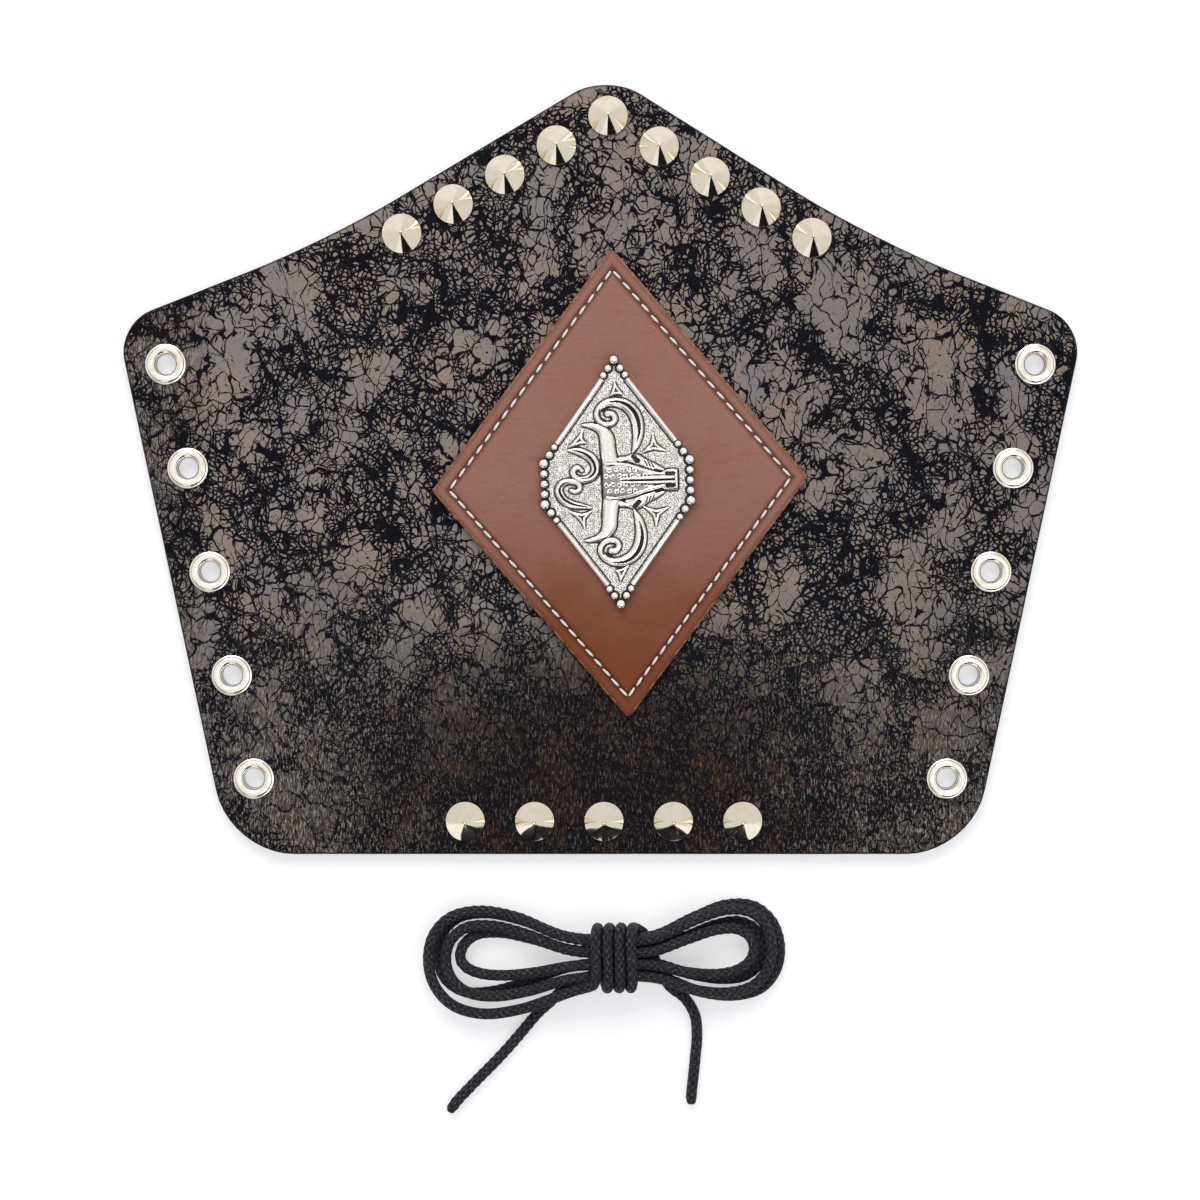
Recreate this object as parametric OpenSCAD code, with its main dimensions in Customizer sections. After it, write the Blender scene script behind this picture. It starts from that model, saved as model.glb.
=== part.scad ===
// A lace-up leather bracer laid flat, seen from its outer face. One sheet of crackled
// leather carries screwed cone studs, two rows of eyelets, and a stitched diamond patch
// with a cast concho. Its waxed lace lies beside it, tied in a hank. The origin is under
// the middle of the bracer, +Y points to the peak and +Z away from the arm.

/* [Leather sheet] */
// Distance between the shoulder corners, before they are rounded
shoulder_w = 241.8; // [220:0.2:260]
// Height of the shoulder corners above the bottom edge
shoulder_h = 132.9; // [122:0.1:142]
// Distance between the bottom corners, before they are rounded
bottom_w = 186.2; // [170:0.2:210]
// Height of the peak above the bottom edge, before it is rounded
peak_h = 195.4; // [186:0.1:206]
// Sideways place of the peak, as the sheet was cut
peak_x = 1.6; // [-4:0.1:4]
// Distance between the bends of the two upper edges
bend_w = 136.6; // [120:0.2:150]
// Height of the bends above the bottom edge
bend_h = 153.7; // [150:0.1:158]
// Rounding of the peak
peak_r = 16; // [8:0.5:24]
// Easing of each bend
bend_r = 240; // [80:5:260]
// Rounding of each shoulder
shoulder_r = 11; // [5:0.5:16]
// Rounding of each bottom corner
bottom_r = 20; // [8:0.5:26]
// Thickness of the sheet
leather_t = 2.4; // [2.3:0.1:3.6]
// Rounding of the burnished edge
edge_r = 0.7; // [0.3:0.1:1.1]

/* [Cone studs] */
// Diameter of a cone
cone_d = 10; // [7:0.1:11.5]
// Height of a cone above the leather
cone_h = 5.2; // [4.6:0.1:8]
// Upright rim below the slope of a cone
cone_rim = 0.6; // [0.3:0.1:1]
// Radius of the blunted point
cone_tip_r = 0.3; // [0.15:0.05:0.6]
// Studs on each arm of the upper row
arm_studs = 4; // [1:1:4]
// Distance between the studs of the upper row
arm_pitch = 14.8; // [12:0.1:15.4]
// Distance from the peak's edge to the middle stud
peak_margin = 8; // [6.5:0.1:12]
// How much flatter the arms lie than the edges beside them, in degrees
arm_ease = 1.2; // [0:0.1:2]
// Studs of the lower row
low_studs = 5; // [1:1:7]
// Distance between the studs of the lower row
low_pitch = 17.4; // [13:0.1:20]
// Distance from the bottom edge to the lower row
low_margin = 8.4; // [6.5:0.1:14]
// Sideways place of the lower row
low_x = 0.9; // [-4:0.1:4]

/* [Screws] */
// Diameter of a stud screw's shank
screw_d = 2.9; // [2:0.1:3.6]
// Diameter of a stud screw's head
screw_head_d = 8.4; // [6:0.1:10]
// Thickness of every screw head
screw_head_t = 1.3; // [1.1:0.1:2]
// Length of a shank inside its stud
screw_grip = 2.6; // [1.8:0.1:2.9]
// Width of a driver slot
slot_w = 1; // [0.6:0.1:1.4]
// Depth of a driver slot
slot_t = 0.6; // [0.3:0.1:0.9]
// Diameter of the concho screw's shank
concho_screw_d = 3.4; // [2.5:0.1:3.8]
// Diameter of the concho screw's head
concho_head_d = 9; // [8:0.1:12]

/* [Eyelets] */
// Inner diameter of an eyelet
eyelet_d = 5; // [3.5:0.1:5.6]
// Outer diameter of an eyelet's barrel
barrel_d = 6; // [5.8:0.1:7]
// Diameter of an eyelet's flange
flange_d = 10.2; // [9:0.1:12]
// Height of the flange above the leather
flange_h = 1; // [0.7:0.1:1.5]
// Thickness of the metal at the flange's lip
flange_lip = 0.35; // [0.2:0.05:0.5]
// Diameter of the washer behind the leather
washer_d = 10; // [9:0.1:12]
// Thickness of the washer
washer_t = 0.4; // [0.3:0.05:0.5]
// Diameter of the rolled end behind the washer
roll_d = 8.2; // [7.6:0.1:8.8]
// Thickness of the rolled end
roll_t = 0.45; // [0.3:0.05:0.5]
// Eyelets on each side
side_eyelets = 5; // [1:1:5]
// Distance between the eyelets of a row
eyelet_pitch = 26.5; // [16:0.1:27]
// Distance from the side edge to the row
eyelet_inset = 10; // [7.5:0.1:14]
// Distance of the row's middle from the bottom corner, along the side
eyelet_mid = 70.4; // [66:0.1:76]

/* [Diamond patch] */
// Width of the patch from side corner to side corner
patch_w = 94; // [84:0.5:110]
// Height of the patch from top corner to bottom corner
patch_h = 117.6; // [105:0.5:128]
// Thickness of the patch at its edge
patch_t = 2; // [1.5:0.1:3]
// Rounding of the patch's corners
patch_r = 1.2; // [0.5:0.1:3]
// Rise of the soft middle above the edge
patch_crown = 0.5; // [0.2:0.05:1]
// Distance from the stitches to the flat middle
crown_run = 10; // [7:0.5:12]
// Sideways place of the patch's middle
patch_x = 4.9; // [-8:0.1:8]
// Height of the patch's middle above the bottom edge
patch_y = 93; // [88:0.1:98]
// Turn of the patch as it was sewn on, in degrees
patch_turn = 2.1; // [-4:0.1:4]
// Distance from the patch's edge to the stitches
stitch_inset = 3.4; // [2.5:0.1:5]
// Diameter of the thread
thread_d = 0.64; // [0.4:0.02:0.8]
// Length of a stitch that shows
stitch_len = 2.7; // [1.8:0.1:2.9]
// Stitches along each upper side
high_stitches = 19; // [14:1:21]
// Stitches along each lower side
low_stitches = 21; // [14:1:22]
// Slant of each stitch to its line, in degrees
stitch_slant = 4; // [0:1:8]

/* [Concho] */
// Height between the outermost beads
concho_h = 60.8; // [54:0.1:66]
// Width between the beads at the sides
concho_w = 36.4; // [34.4:0.1:42]
// Thickness of the cast plate
plate_t = 1.3; // [1:0.1:2]
// Width of the bars along the slanted edges
bar_w = 1.2; // [0.8:0.1:1.8]
// Diameter of the largest beads
bead_d = 2.6; // [2:0.1:2.8]
// Height of the skull's brow above the plate
brow_h = 2.2; // [1.4:0.1:2.6]
// Height of the small leaves above the plate
leaf_h = 0.55; // [0.3:0.05:0.9]
// Sideways place on the patch
concho_x = -0.7; // [-3:0.1:3]
// Place on the patch, up and down
concho_y = 0.5; // [-3:0.1:3]
// Turn of the concho against the patch, in degrees
concho_turn = -0.4; // [-4:0.1:4]
// Diameter of the threaded boss at its back
boss_d = 5.2; // [5:0.1:6.4]
// Length of the boss
boss_h = 3.2; // [2.8:0.1:3.9]

/* [Lace] */
// Diameter of the waxed cord
lace_d = 2.8; // [2.5:0.05:3]
// Room left between neighbouring strands
lace_gap = 0.5; // [0.45:0.01:0.6]
// How far the left lobe lies above the line of the waist
lobe_lift = 2.1; // [0:0.1:3]
// Distance of the hank's waist below the bottom edge
lace_drop = 25.9; // [24:0.1:60]
// Sideways place of the waist
lace_x = 3.4; // [-20:0.1:20]
// Turn of the hank, in degrees
lace_turn = 3.7; // [-15:0.1:15]
// Length of the left lobe, from the waist to the middle of the outer strand
left_lobe = 47.6; // [44:0.1:52]
// Length of the right lobe
right_lobe = 42.9; // [41:0.1:48]

/* [Clearances] */
// Gap round a shank in its threaded hole, and round a barrel in its washer
fit_gap = 0.07; // [0.03:0.01:0.12]
// Gap round a shank, boss or barrel in its punched hole
punch_gap = 0.1; // [0.05:0.01:0.3]

/* [Hidden] */
top_studs = 2 * arm_studs + 1;
round_fn = 48;

// Levels, from the floor under the screw heads up to the concho's seat
sheet_z = screw_head_t;
sheet_top = sheet_z + leather_t;
patch_top = sheet_top + patch_t;
concho_z = patch_top + patch_crown;

// Plain vector helpers
function unit(v) = v / norm(v);
function angle_of(v) = atan2(v.y, v.x);
function wrap_turn(a) = (a + 540) % 360 - 180;
function smooth_step(t) = let (s = min(1, max(0, t))) s * s * (3 - 2 * s);
function flat_turn(v, a) = [v.x * cos(a) - v.y * sin(a), v.x * sin(a) + v.y * cos(a)];

// Points of one rounded corner at b, between its neighbours a and c. bulge is 1 where
// the outline turns outwards and -1 where it bends in, and inset draws the edge inwards.
function corner(a, b, c, r, bulge, steps, inset) =
  let (
    u = unit(a - b),
    v = unit(c - b),
    half = acos(u * v) / 2,
    centre = b + unit(u + v) * r / sin(half),
    first = angle_of(b + u * r / tan(half) - centre),
    last = angle_of(b + v * r / tan(half) - centre)
  )
  [for (i = [0 : steps])
    let (a_i = first + wrap_turn(last - first) * i / steps)
    centre + (r - bulge * inset) * [cos(a_i), sin(a_i)]];

// The sheet's corners, measured from the bottom edge: place, rounding, bulge and steps
sheet_corners = [
  [[-bottom_w / 2, 0], bottom_r, 1, 8],
  [[bottom_w / 2, 0], bottom_r, 1, 8],
  [[shoulder_w / 2, shoulder_h], shoulder_r, 1, 8],
  [[bend_w / 2, bend_h], bend_r, -1, 6],
  [[peak_x, peak_h], peak_r, 1, 8],
  [[-bend_w / 2, bend_h], bend_r, -1, 6],
  [[-shoulder_w / 2, shoulder_h], shoulder_r, 1, 8]
];
function rounded(corners, inset) =
  let (n = len(corners))
  [for (i = [0 : n - 1])
    let (k = corners[i])
    each corner(corners[(i + n - 1) % n][0], k[0], corners[(i + 1) % n][0],
      k[1], k[2], k[3], inset)];
sheet_h = max([for (q = rounded(sheet_corners, 0)) q.y]);
base = [0, -sheet_h / 2];
function at(z, outline) = [for (q = outline) [q.x + base.x, q.y + base.y, z]];

// Skin over a stack of rings with equal counts, each counter-clockwise from the far end
module loft(rings) {
  n = len(rings[0]);
  m = len(rings);
  polyhedron(
    points = [for (ring = rings) each ring],
    faces = [
      [for (i = [0 : n - 1]) i],
      for (j = [0 : m - 2], i = [0 : n - 1])
        [j * n + i, (j + 1) * n + i, (j + 1) * n + (i + 1) % n, j * n + (i + 1) % n],
      [for (i = [n - 1 : -1 : 0]) (m - 1) * n + i]
    ]
  );
}

// Places of the studs: the middle one below the peak, the arms along the upper edges
peak_stud = [peak_x + 0.3, sheet_h - peak_margin] + base;
function arm_slope(side) =
  atan2(peak_h - bend_h, bend_w / 2 - side * peak_x) - arm_ease;
function top_stud_at(i) =
  let (k = i - arm_studs - 1, side = sign(k), a = arm_slope(side))
  peak_stud + abs(k) * arm_pitch * [side * cos(a), -sin(a)];
function low_stud_at(i) =
  [low_x + (i - (low_studs + 1) / 2) * low_pitch, low_margin] + base;

// Places of the eyelets: side is -1 on the left and 1 on the right, 1 is the top one
side_run = unit([(shoulder_w - bottom_w) / 2, shoulder_h]);
side_in = [-side_run.y, side_run.x];
function eyelet_at(side, i) =
  let (
    along = eyelet_mid + ((side_eyelets + 1) / 2 - i) * eyelet_pitch,
    p = [bottom_w / 2, 0] + along * side_run + eyelet_inset * side_in
  )
  [side * p.x, p.y] + base;

// Place of the concho's middle, where its screw passes through patch and sheet
patch_mid = [patch_x, patch_y] + base;
concho_mid = patch_mid + flat_turn([concho_x, concho_y], patch_turn);

// Rings of the sheet, rounded alike at its flesh side and at its face
function sheet_ring(z, a) = at(z, rounded(sheet_corners, edge_r * (1 - sin(a))));
sheet_rings = [
  for (a = [0 : 45 : 90]) sheet_ring(sheet_z + edge_r * (1 - cos(a)), a),
  for (a = [90 : -45 : 0]) sheet_ring(sheet_top - edge_r * (1 - cos(a)), a)
];

// Hole punched through the leather for a shank, boss or barrel of diameter d
module punch(p, d) {
  translate([p.x, p.y, sheet_z - 1])
    cylinder(d = d + 2 * punch_gap, h = concho_z - sheet_z + 2, $fn = round_fn);
}

module outer_leather() {
  color([0.24, 0.21, 0.19])
  difference() {
    loft(sheet_rings);
    for (i = [1 : top_studs]) punch(top_stud_at(i), screw_d);
    for (i = [1 : low_studs]) punch(low_stud_at(i), screw_d);
    for (side = [-1, 1], i = [1 : side_eyelets]) punch(eyelet_at(side, i), barrel_d);
    punch(concho_mid, boss_d);
  }
}

// Outline of the patch about its own middle. Every inner ring is the same diamond,
// drawn in by the same distance on its four sides.
patch_reach = patch_w * patch_h / 2 / norm([patch_w, patch_h]);
patch_tips = [
  [0, patch_h / 2],
  [-patch_w / 2, 0],
  [0, -patch_h / 2],
  [patch_w / 2, 0]
];
patch_corners = [for (q = patch_tips) [q, patch_r, 1, 2]];
function drawn_in(inset) = (patch_reach - inset) / patch_reach;
function patch_ring(inset, z) = [
  for (q = rounded(patch_corners, 0))
    let (p = patch_mid + flat_turn(q * drawn_in(inset), patch_turn))
    [p.x, p.y, z]
];
patch_bevel = 0.35;
groove_t = 0.7 * thread_d;
groove_half = thread_d / 2 + stitch_len / 2 * sin(stitch_slant) + 0.05;

// The edge is cut square with a light bevel, the stitches lie in a pressed groove, and
// the middle rises softly to the flat on which the concho sits
module diamond_patch() {
  color([0.55, 0.32, 0.22])
  difference() {
    loft([
      patch_ring(patch_bevel, sheet_top),
      patch_ring(0, sheet_top + patch_bevel),
      patch_ring(0, patch_top - patch_bevel),
      patch_ring(patch_bevel, patch_top),
      patch_ring(stitch_inset - groove_half - 0.4, patch_top),
      patch_ring(stitch_inset - groove_half, patch_top - groove_t),
      patch_ring(stitch_inset + groove_half, patch_top - groove_t),
      patch_ring(stitch_inset + groove_half + 0.5, patch_top),
      patch_ring(stitch_inset + 0.35 * crown_run, patch_top + 0.55 * patch_crown),
      patch_ring(stitch_inset + 0.7 * crown_run, patch_top + 0.9 * patch_crown),
      patch_ring(stitch_inset + crown_run, concho_z)
    ]);
    punch(concho_mid, boss_d);
  }
}

// A run of stitches from corner p to corner q of the stitch line, all at height z
module stitch_run(p, q, count, z) {
  a = angle_of(q - p);
  for (i = [0 : count - 1]) {
    m = p + (q - p) * (i + 0.5) / count;
    translate([m.x, m.y, z])
      rotate([0, 90, a + stitch_slant])
        cylinder(d = thread_d, h = stitch_len, center = true, $fn = 8);
  }
}

// The thread shows in the groove of the patch and again on the flesh side of the sheet
module patch_thread() {
  line = [
    for (q = patch_tips)
      patch_mid + flat_turn(q * drawn_in(stitch_inset), patch_turn)
  ];
  color([0.93, 0.92, 0.89])
  for (z = [patch_top - groove_t + thread_d / 2, sheet_z - thread_d / 2], k = [0 : 3])
    stitch_run(line[k], line[(k + 1) % 4],
      k == 0 || k == 3 ? high_stitches : low_stitches, z);
}

// A cone of polished metal with a small upright rim and a blind threaded hole
module stud_cone() {
  hole_r = screw_d / 2 + fit_gap;
  hole_h = screw_grip + 0.3;
  translate([0, 0, sheet_top])
    rotate_extrude($fn = round_fn)
      polygon([
        [hole_r, 0],
        [cone_d / 2 - 0.12, 0],
        [cone_d / 2, 0.12],
        [cone_d / 2, cone_rim],
        [cone_tip_r, cone_h - 0.6 * cone_tip_r],
        [0, cone_h],
        [0, hole_h],
        [hole_r, hole_h]
      ]);
}

// A flat-headed screw from the flesh side: its head carries the sheet, its shank of
// diameter d reaches up to height top
module back_screw(head, d, top) {
  bevel = 0.35 * screw_head_t;
  difference() {
    rotate_extrude($fn = round_fn)
      polygon([
        [0, 0],
        [head / 2 - bevel, 0],
        [head / 2, bevel],
        [head / 2, screw_head_t],
        [d / 2, screw_head_t],
        [d / 2, top],
        [0, top]
      ]);
    translate([0, 0, slot_t / 2 - 0.5])
      cube([head + 2, slot_w, slot_t + 1], center = true);
  }
}

module stud_screw() {
  back_screw(screw_head_d, screw_d, sheet_top + screw_grip);
}

// Profile of an eyelet, from the lip of its flange over the crest, down the bore and
// round the rolled end behind the washer
flange_r = flange_d / 2;
bore_r = eyelet_d / 2;
crest_r = (flange_r + bore_r) / 2 + 0.1;
throat = 0.4;
roll_z = sheet_z - washer_t;
bore_foot = roll_z + 0.1;
eyelet_profile = [
  [flange_r - 0.12, sheet_top],
  [flange_r, sheet_top + 0.4 * flange_lip],
  [flange_r - 0.15, sheet_top + flange_lip],
  for (a = [0 : 15 : 75])
    [crest_r + (flange_r - 0.4 - crest_r) * cos(a),
     sheet_top + flange_lip + (flange_h - flange_lip) * sin(a)],
  for (a = [90 : 10 : 170])
    [crest_r + (crest_r - bore_r) * cos(a),
     sheet_top - throat + (flange_h + throat) * sin(a)],
  [bore_r, sheet_top - throat],
  [bore_r, bore_foot],
  [bore_r + 0.4, roll_z - roll_t],
  [roll_d / 2 - 0.15, roll_z - roll_t],
  [roll_d / 2, roll_z - roll_t / 2],
  [roll_d / 2 - 0.1, roll_z],
  [barrel_d / 2, roll_z],
  [barrel_d / 2, sheet_top]
];
module eyelet() {
  rotate_extrude($fn = round_fn) polygon(eyelet_profile);
}

// A flat ring with a bevelled rim, gripped between the leather and the rolled end
module washer() {
  rotate_extrude($fn = round_fn)
    polygon([
      [barrel_d / 2 + fit_gap, roll_z],
      [washer_d / 2 - 0.2, roll_z],
      [washer_d / 2, roll_z + 0.2],
      [washer_d / 2, sheet_z],
      [barrel_d / 2 + fit_gap, sheet_z]
    ]);
}

// Places on the concho stretch with its width and height, and relief with its thickness
stretch_x = concho_w / 36.4;
stretch_y = concho_h / 60.8;
stretch_z = plate_t / 1.3;
function cast(p) = [p.x * stretch_x, p.y * stretch_y];

// Beads of one quarter: three at the tip and four up the side, with the middle bead of
// the side on the axis. The third value is the diameter as a share of the largest bead.
beads = [
  [0, 30.4, 0.96],
  [1.5, 28.3, 0.79],
  [2.7, 26.6, 0.73],
  [15.4, 9.1, 0.7],
  [16.7, 7.2, 0.83],
  [18.2, 5.1, 1],
  [18.2, 2.55, 0.85],
  [18.2, 0, 0.83]
];
bar_ends = [[3.1, 25.6], [14.8, 9.9]];

// The plate follows the outer edge of the bars and the middles of the outer beads
module plate() {
  half = [[0, 30.2], [3.6, 26], [15.3, 10.2], [17.9, 5.3], [17.9, -5.3],
    [15.3, -10.2], [3.6, -26], [0, -30.2]];
  linear_extrude(plate_t)
    polygon([
      for (q = half) cast(q),
      for (i = [6 : -1 : 1]) cast([-half[i].x, half[i].y])
    ]);
}

module bar(side, up) {
  p = cast([side * bar_ends[0].x, up * bar_ends[0].y]);
  q = cast([side * bar_ends[1].x, up * bar_ends[1].y]);
  translate([p.x, p.y, plate_t])
    rotate([0, 90, angle_of(q - p)])
      cylinder(d = bar_w, h = norm(q - p), $fn = 24);
}

// A smooth route through [x, y, half width, height], with n steps between its points
function pass(a, b, c, d, t) =
  (2 * b + (c - a) * t + (2 * a - 5 * b + 4 * c - d) * t * t
    + (3 * b - a - 3 * c + d) * t * t * t) / 2;
function smooth_route(r, n) =
  let (m = len(r) - 1)
  [
    for (i = [0 : m - 1], j = [0 : n - 1])
      pass(r[max(i - 1, 0)], r[i], r[i + 1], r[min(i + 2, m)], j / n),
    r[m]
  ];

// Relief that stands half round out of the plate along a route. groove is the share of
// its height by which the crest is cut in, along the middle.
relief_sink = 0.5;
function relief_ring(r, i, groove) =
  let (
    m = len(r) - 1,
    p = cast(r[i]),
    t = unit(cast(r[min(i + 1, m)]) - cast(r[max(i - 1, 0)])),
    side = [-t.y, t.x],
    w = r[i][2] * (stretch_x + stretch_y) / 2,
    h = r[i][3] * stretch_z
  )
  [
    for (a = [0 : 30 : 180])
      [each (p + w * cos(a) * side), plate_t + h * (sin(a) - (a == 90 ? groove : 0))],
    [each (p - w * side), plate_t - relief_sink],
    [each (p + w * side), plate_t - relief_sink]
  ];
module relief(route, groove) {
  r = smooth_route(route, 2);
  loft([for (i = [0 : len(r) - 1]) relief_ring(r, i, groove)]);
}
function flipped(route) = [for (q = route) [q.x, -q.y, q[2], q[3]]];

// The skull lies along +X: the poll is at the left and the muzzle at the right
skull_route = [
  [-3.8, 0.3, 4.4, 0.9],
  [-2.7, 0.3, 4.6, 0.75 * brow_h],
  [0.2, 0.3, 4.5, 0.9 * brow_h],
  [3, 0.2, 3.9, brow_h],
  [5.6, 0.2, 3, 0.85 * brow_h],
  [8.4, 0.1, 2.3, 0.7 * brow_h],
  [11.4, 0.1, 1.8, 0.6 * brow_h],
  [12.8, 0.1, 2.3, 0.55 * brow_h],
  [14.4, 0.1, 2.4, 0.5 * brow_h],
  [15, 0.1, 1.8, 0.25 * brow_h]
];
horn_route = [
  [-1.2, 3.6, 2.3, 1.5],
  [-1.8, 6, 1.95, 1.55],
  [-2.1, 8.6, 1.85, 1.5],
  [-2.3, 11, 1.75, 1.35],
  [-3.3, 12.8, 1.35, 1.15],
  [-5.2, 13.9, 0.85, 0.85],
  [-7.2, 14.3, 0.5, 0.6],
  [-8.6, 14.4, 0.15, 0.35]
];
// The cheek beside the skull, with the socket of the eye near its upper end
cheek_route = [
  [2.4, 5.7, 0.6, 0.6],
  [4.6, 5.4, 1.4, 1.1],
  [6.8, 4.6, 1.05, 0.9],
  [9, 3.8, 0.75, 0.75],
  [11.4, 2.8, 0.4, 0.5]
];
eye_at = [4.7, 5.5];
// The great scroll above each horn, from its tail beside the skull into its curl
scroll_route = [
  [4, 7.1, 0.2, 0.3],
  [4.9, 9, 0.85, 0.7],
  [5.5, 11.8, 1.3, 0.95],
  [5.5, 14.2, 1.45, 1.1],
  [4.8, 16.6, 1.5, 1.1],
  [3.2, 18.6, 1.4, 1.1],
  [1, 19.7, 1.25, 1],
  [-1.5, 19.8, 1, 0.95],
  [-3.7, 18.7, 0.8, 0.9],
  [-4.6, 17, 0.7, 0.85],
  [-4.1, 15.3, 0.7, 0.85],
  [-2.6, 14.4, 0.7, 0.85],
  [-0.9, 14.6, 0.7, 0.85],
  [-0.1, 15.7, 0.7, 0.9],
  [-0.7, 16.9, 0.75, 0.95],
  [-2, 17.1, 0.8, 1]
];
// The two small scrolls behind the poll
near_scroll_route = [
  [-12, 8.2, 0.25, 0.3],
  [-9.5, 7.9, 0.9, 0.7],
  [-7.2, 6.8, 1.1, 0.85],
  [-5.5, 4.9, 1.15, 0.9],
  [-5.3, 2.8, 1.1, 0.85],
  [-6.7, 1.2, 0.95, 0.8],
  [-8.9, 0.8, 0.8, 0.75],
  [-10.6, 1.7, 0.75, 0.75],
  [-10.9, 3.1, 0.7, 0.7],
  [-9.7, 3.9, 0.6, 0.7],
  [-8.7, 3.1, 0.5, 0.7]
];
far_scroll_route = [
  [-6.5, -6.2, 0.25, 0.3],
  [-9, -5.8, 0.7, 0.6],
  [-11.6, -5.2, 0.95, 0.75],
  [-13.7, -3.9, 1.05, 0.85],
  [-14.6, -1.7, 1, 0.85],
  [-13.7, 0, 0.85, 0.8],
  [-11.8, 0.5, 0.75, 0.75],
  [-9.9, 0.1, 0.7, 0.7],
  [-9.3, -1.2, 0.65, 0.7],
  [-10.3, -2.1, 0.6, 0.7],
  [-11.5, -1.8, 0.55, 0.7]
];
curl_groove = 0.3;

// Small leaves of three points, with hollow sides
leaves = [
  [[0, 24.9], [-1.1, 21.5], [2.1, 21.7]],
  [[9.2, 11.7], [6.2, 7], [12.5, 7.3]],
  [[9.4, -11.6], [6.2, -6.2], [12.7, -6.6]],
  [[0.1, -24.9], [-1.2, -21.9], [2.3, -20.8]],
  [[-8.3, 12.9], [-12, 8.6], [-7.2, 9.6]],
  [[-8.3, -11.6], [-12.2, -6.9], [-6.6, -7]]
];
leaf_hollow = 0.45;
module leaf(tips) {
  middle = (tips[0] + tips[1] + tips[2]) / 3;
  translate([0, 0, plate_t - relief_sink])
    linear_extrude(relief_sink + leaf_h)
      polygon([
        for (i = [0 : 2])
          let (edge = (tips[i] + tips[(i + 1) % 3]) / 2)
          each [cast(tips[i]), cast(edge + (middle - edge) * leaf_hollow)]
      ]);
}

// One casting: plate, bars, beads and relief, with a threaded boss behind the middle
bead_z = 1.04 * plate_t;
boss_hole_r = concho_screw_d / 2 + fit_gap;
boss_hole_top = 0.5;
module concho() {
  color([0.78, 0.77, 0.74])
  translate([concho_mid.x, concho_mid.y, concho_z])
    rotate([0, 0, patch_turn + concho_turn])
      difference() {
        union() {
          plate();
          translate([0, 0, -boss_h])
            cylinder(d = boss_d, h = boss_h + plate_t / 2, $fn = round_fn);
          for (side = [-1, 1], up = [-1, 1]) bar(side, up);
          for (b = beads, side = [-1, 1], up = [-1, 1])
            if ((b.x > 0 || side > 0) && (b.y > 0 || up > 0))
              translate([each cast([side * b.x, up * b.y]), bead_z])
                sphere(d = bead_d * b[2], $fn = 24);
          relief(skull_route, 0);
          for (route = [horn_route, flipped(horn_route)]) relief(route, 0);
          for (route = [cheek_route, flipped(cheek_route)]) relief(route, 0);
          for (route = [scroll_route, flipped(scroll_route)]) relief(route, curl_groove);
          relief(near_scroll_route, curl_groove);
          relief(far_scroll_route, curl_groove);
          for (tips = leaves) leaf(tips);
        }
        translate([0, 0, -boss_h - 1])
          cylinder(r = boss_hole_r, h = boss_h + 1 + boss_hole_top, $fn = round_fn);
        for (side = [-1, 1])
          translate([each cast([eye_at.x, side * eye_at.y]), plate_t + 0.5 * stretch_z])
            cylinder(d1 = 1, d2 = 2, h = stretch_z, $fn = 12);
      }
}

module concho_screw() {
  color([0.7, 0.69, 0.66])
  translate([concho_mid.x, concho_mid.y, 0])
    back_screw(concho_head_d, concho_screw_d, concho_z + boss_hole_top - 0.3);
}

// The lace is one cord: the left tail runs through the waist into four loops, which
// spiral in below and out again above, and its end winds round the waist and leaves as
// the right tail. These values belong to the hank's own frame, with the waist at x = 0.
lace_r = lace_d / 2;
waist_step = lace_d + lace_gap + 0.05;
layer_step = lace_d + lace_gap + 0.2;
lobe_step = 1.5 * (lace_d + lace_gap);
spread_step = 2.7 * (lace_d + lace_gap);
wrap_reach = lace_d + lace_gap + 0.3;
loop_rings = 24;
back_turn = 1.75;
climb = [1.5, 1.85];
hank_turns = 95 / loop_rings;
waist_half = 1.75 * waist_step;
waist_flat = 6.5;
waist_ease = 4;
lobe_spread = 27;
function lift(x) = lobe_lift * smooth_step((26 - x) / 60);

// Middle of the cord after u turns, counted from the waist's near side
function hank_at(u) =
  let (
    phi = 270 + 360 * u,
    lobe = pow(cos(phi), 2),
    layer = smooth_step((u - climb[0]) / (climb[1] - climb[0])),
    turns_in = min(u, 2 * back_turn - u) + 0.5 * layer * lobe,
    reach = cos(phi) > 0 ? right_lobe : left_lobe,
    x = (reach - lobe_step * turns_in) * cos(phi),
    out = max(0, abs(x) - waist_flat),
    opening = (norm([out, waist_ease]) - waist_ease) / reach,
    half = waist_half - waist_step * turns_in
      + (lobe_spread - spread_step * turns_in) * opening,
    y = sin(phi) * half - 0.5 * waist_step * layer * (1 - lobe),
    drop = smooth_step((abs(x) - (x > 0 ? 18 : 11)) / (x > 0 ? 14 : 16))
  )
  [x, y + lift(x), lace_r + layer_step * layer + wrap_reach * (1 - drop)];
hank_start = hank_at(0) + 0.72 * (hank_at(-1 / loop_rings) - hank_at(0));
hank_route = [
  hank_start,
  for (i = [0 : 95]) hank_at(min(i / loop_rings, hank_turns))
];
hank_end = hank_at(hank_turns);
hank_way_in = unit(hank_at(0) - hank_start);
hank_way_out = unit(hank_end - hank_at(hank_turns - 1 / loop_rings));

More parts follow.
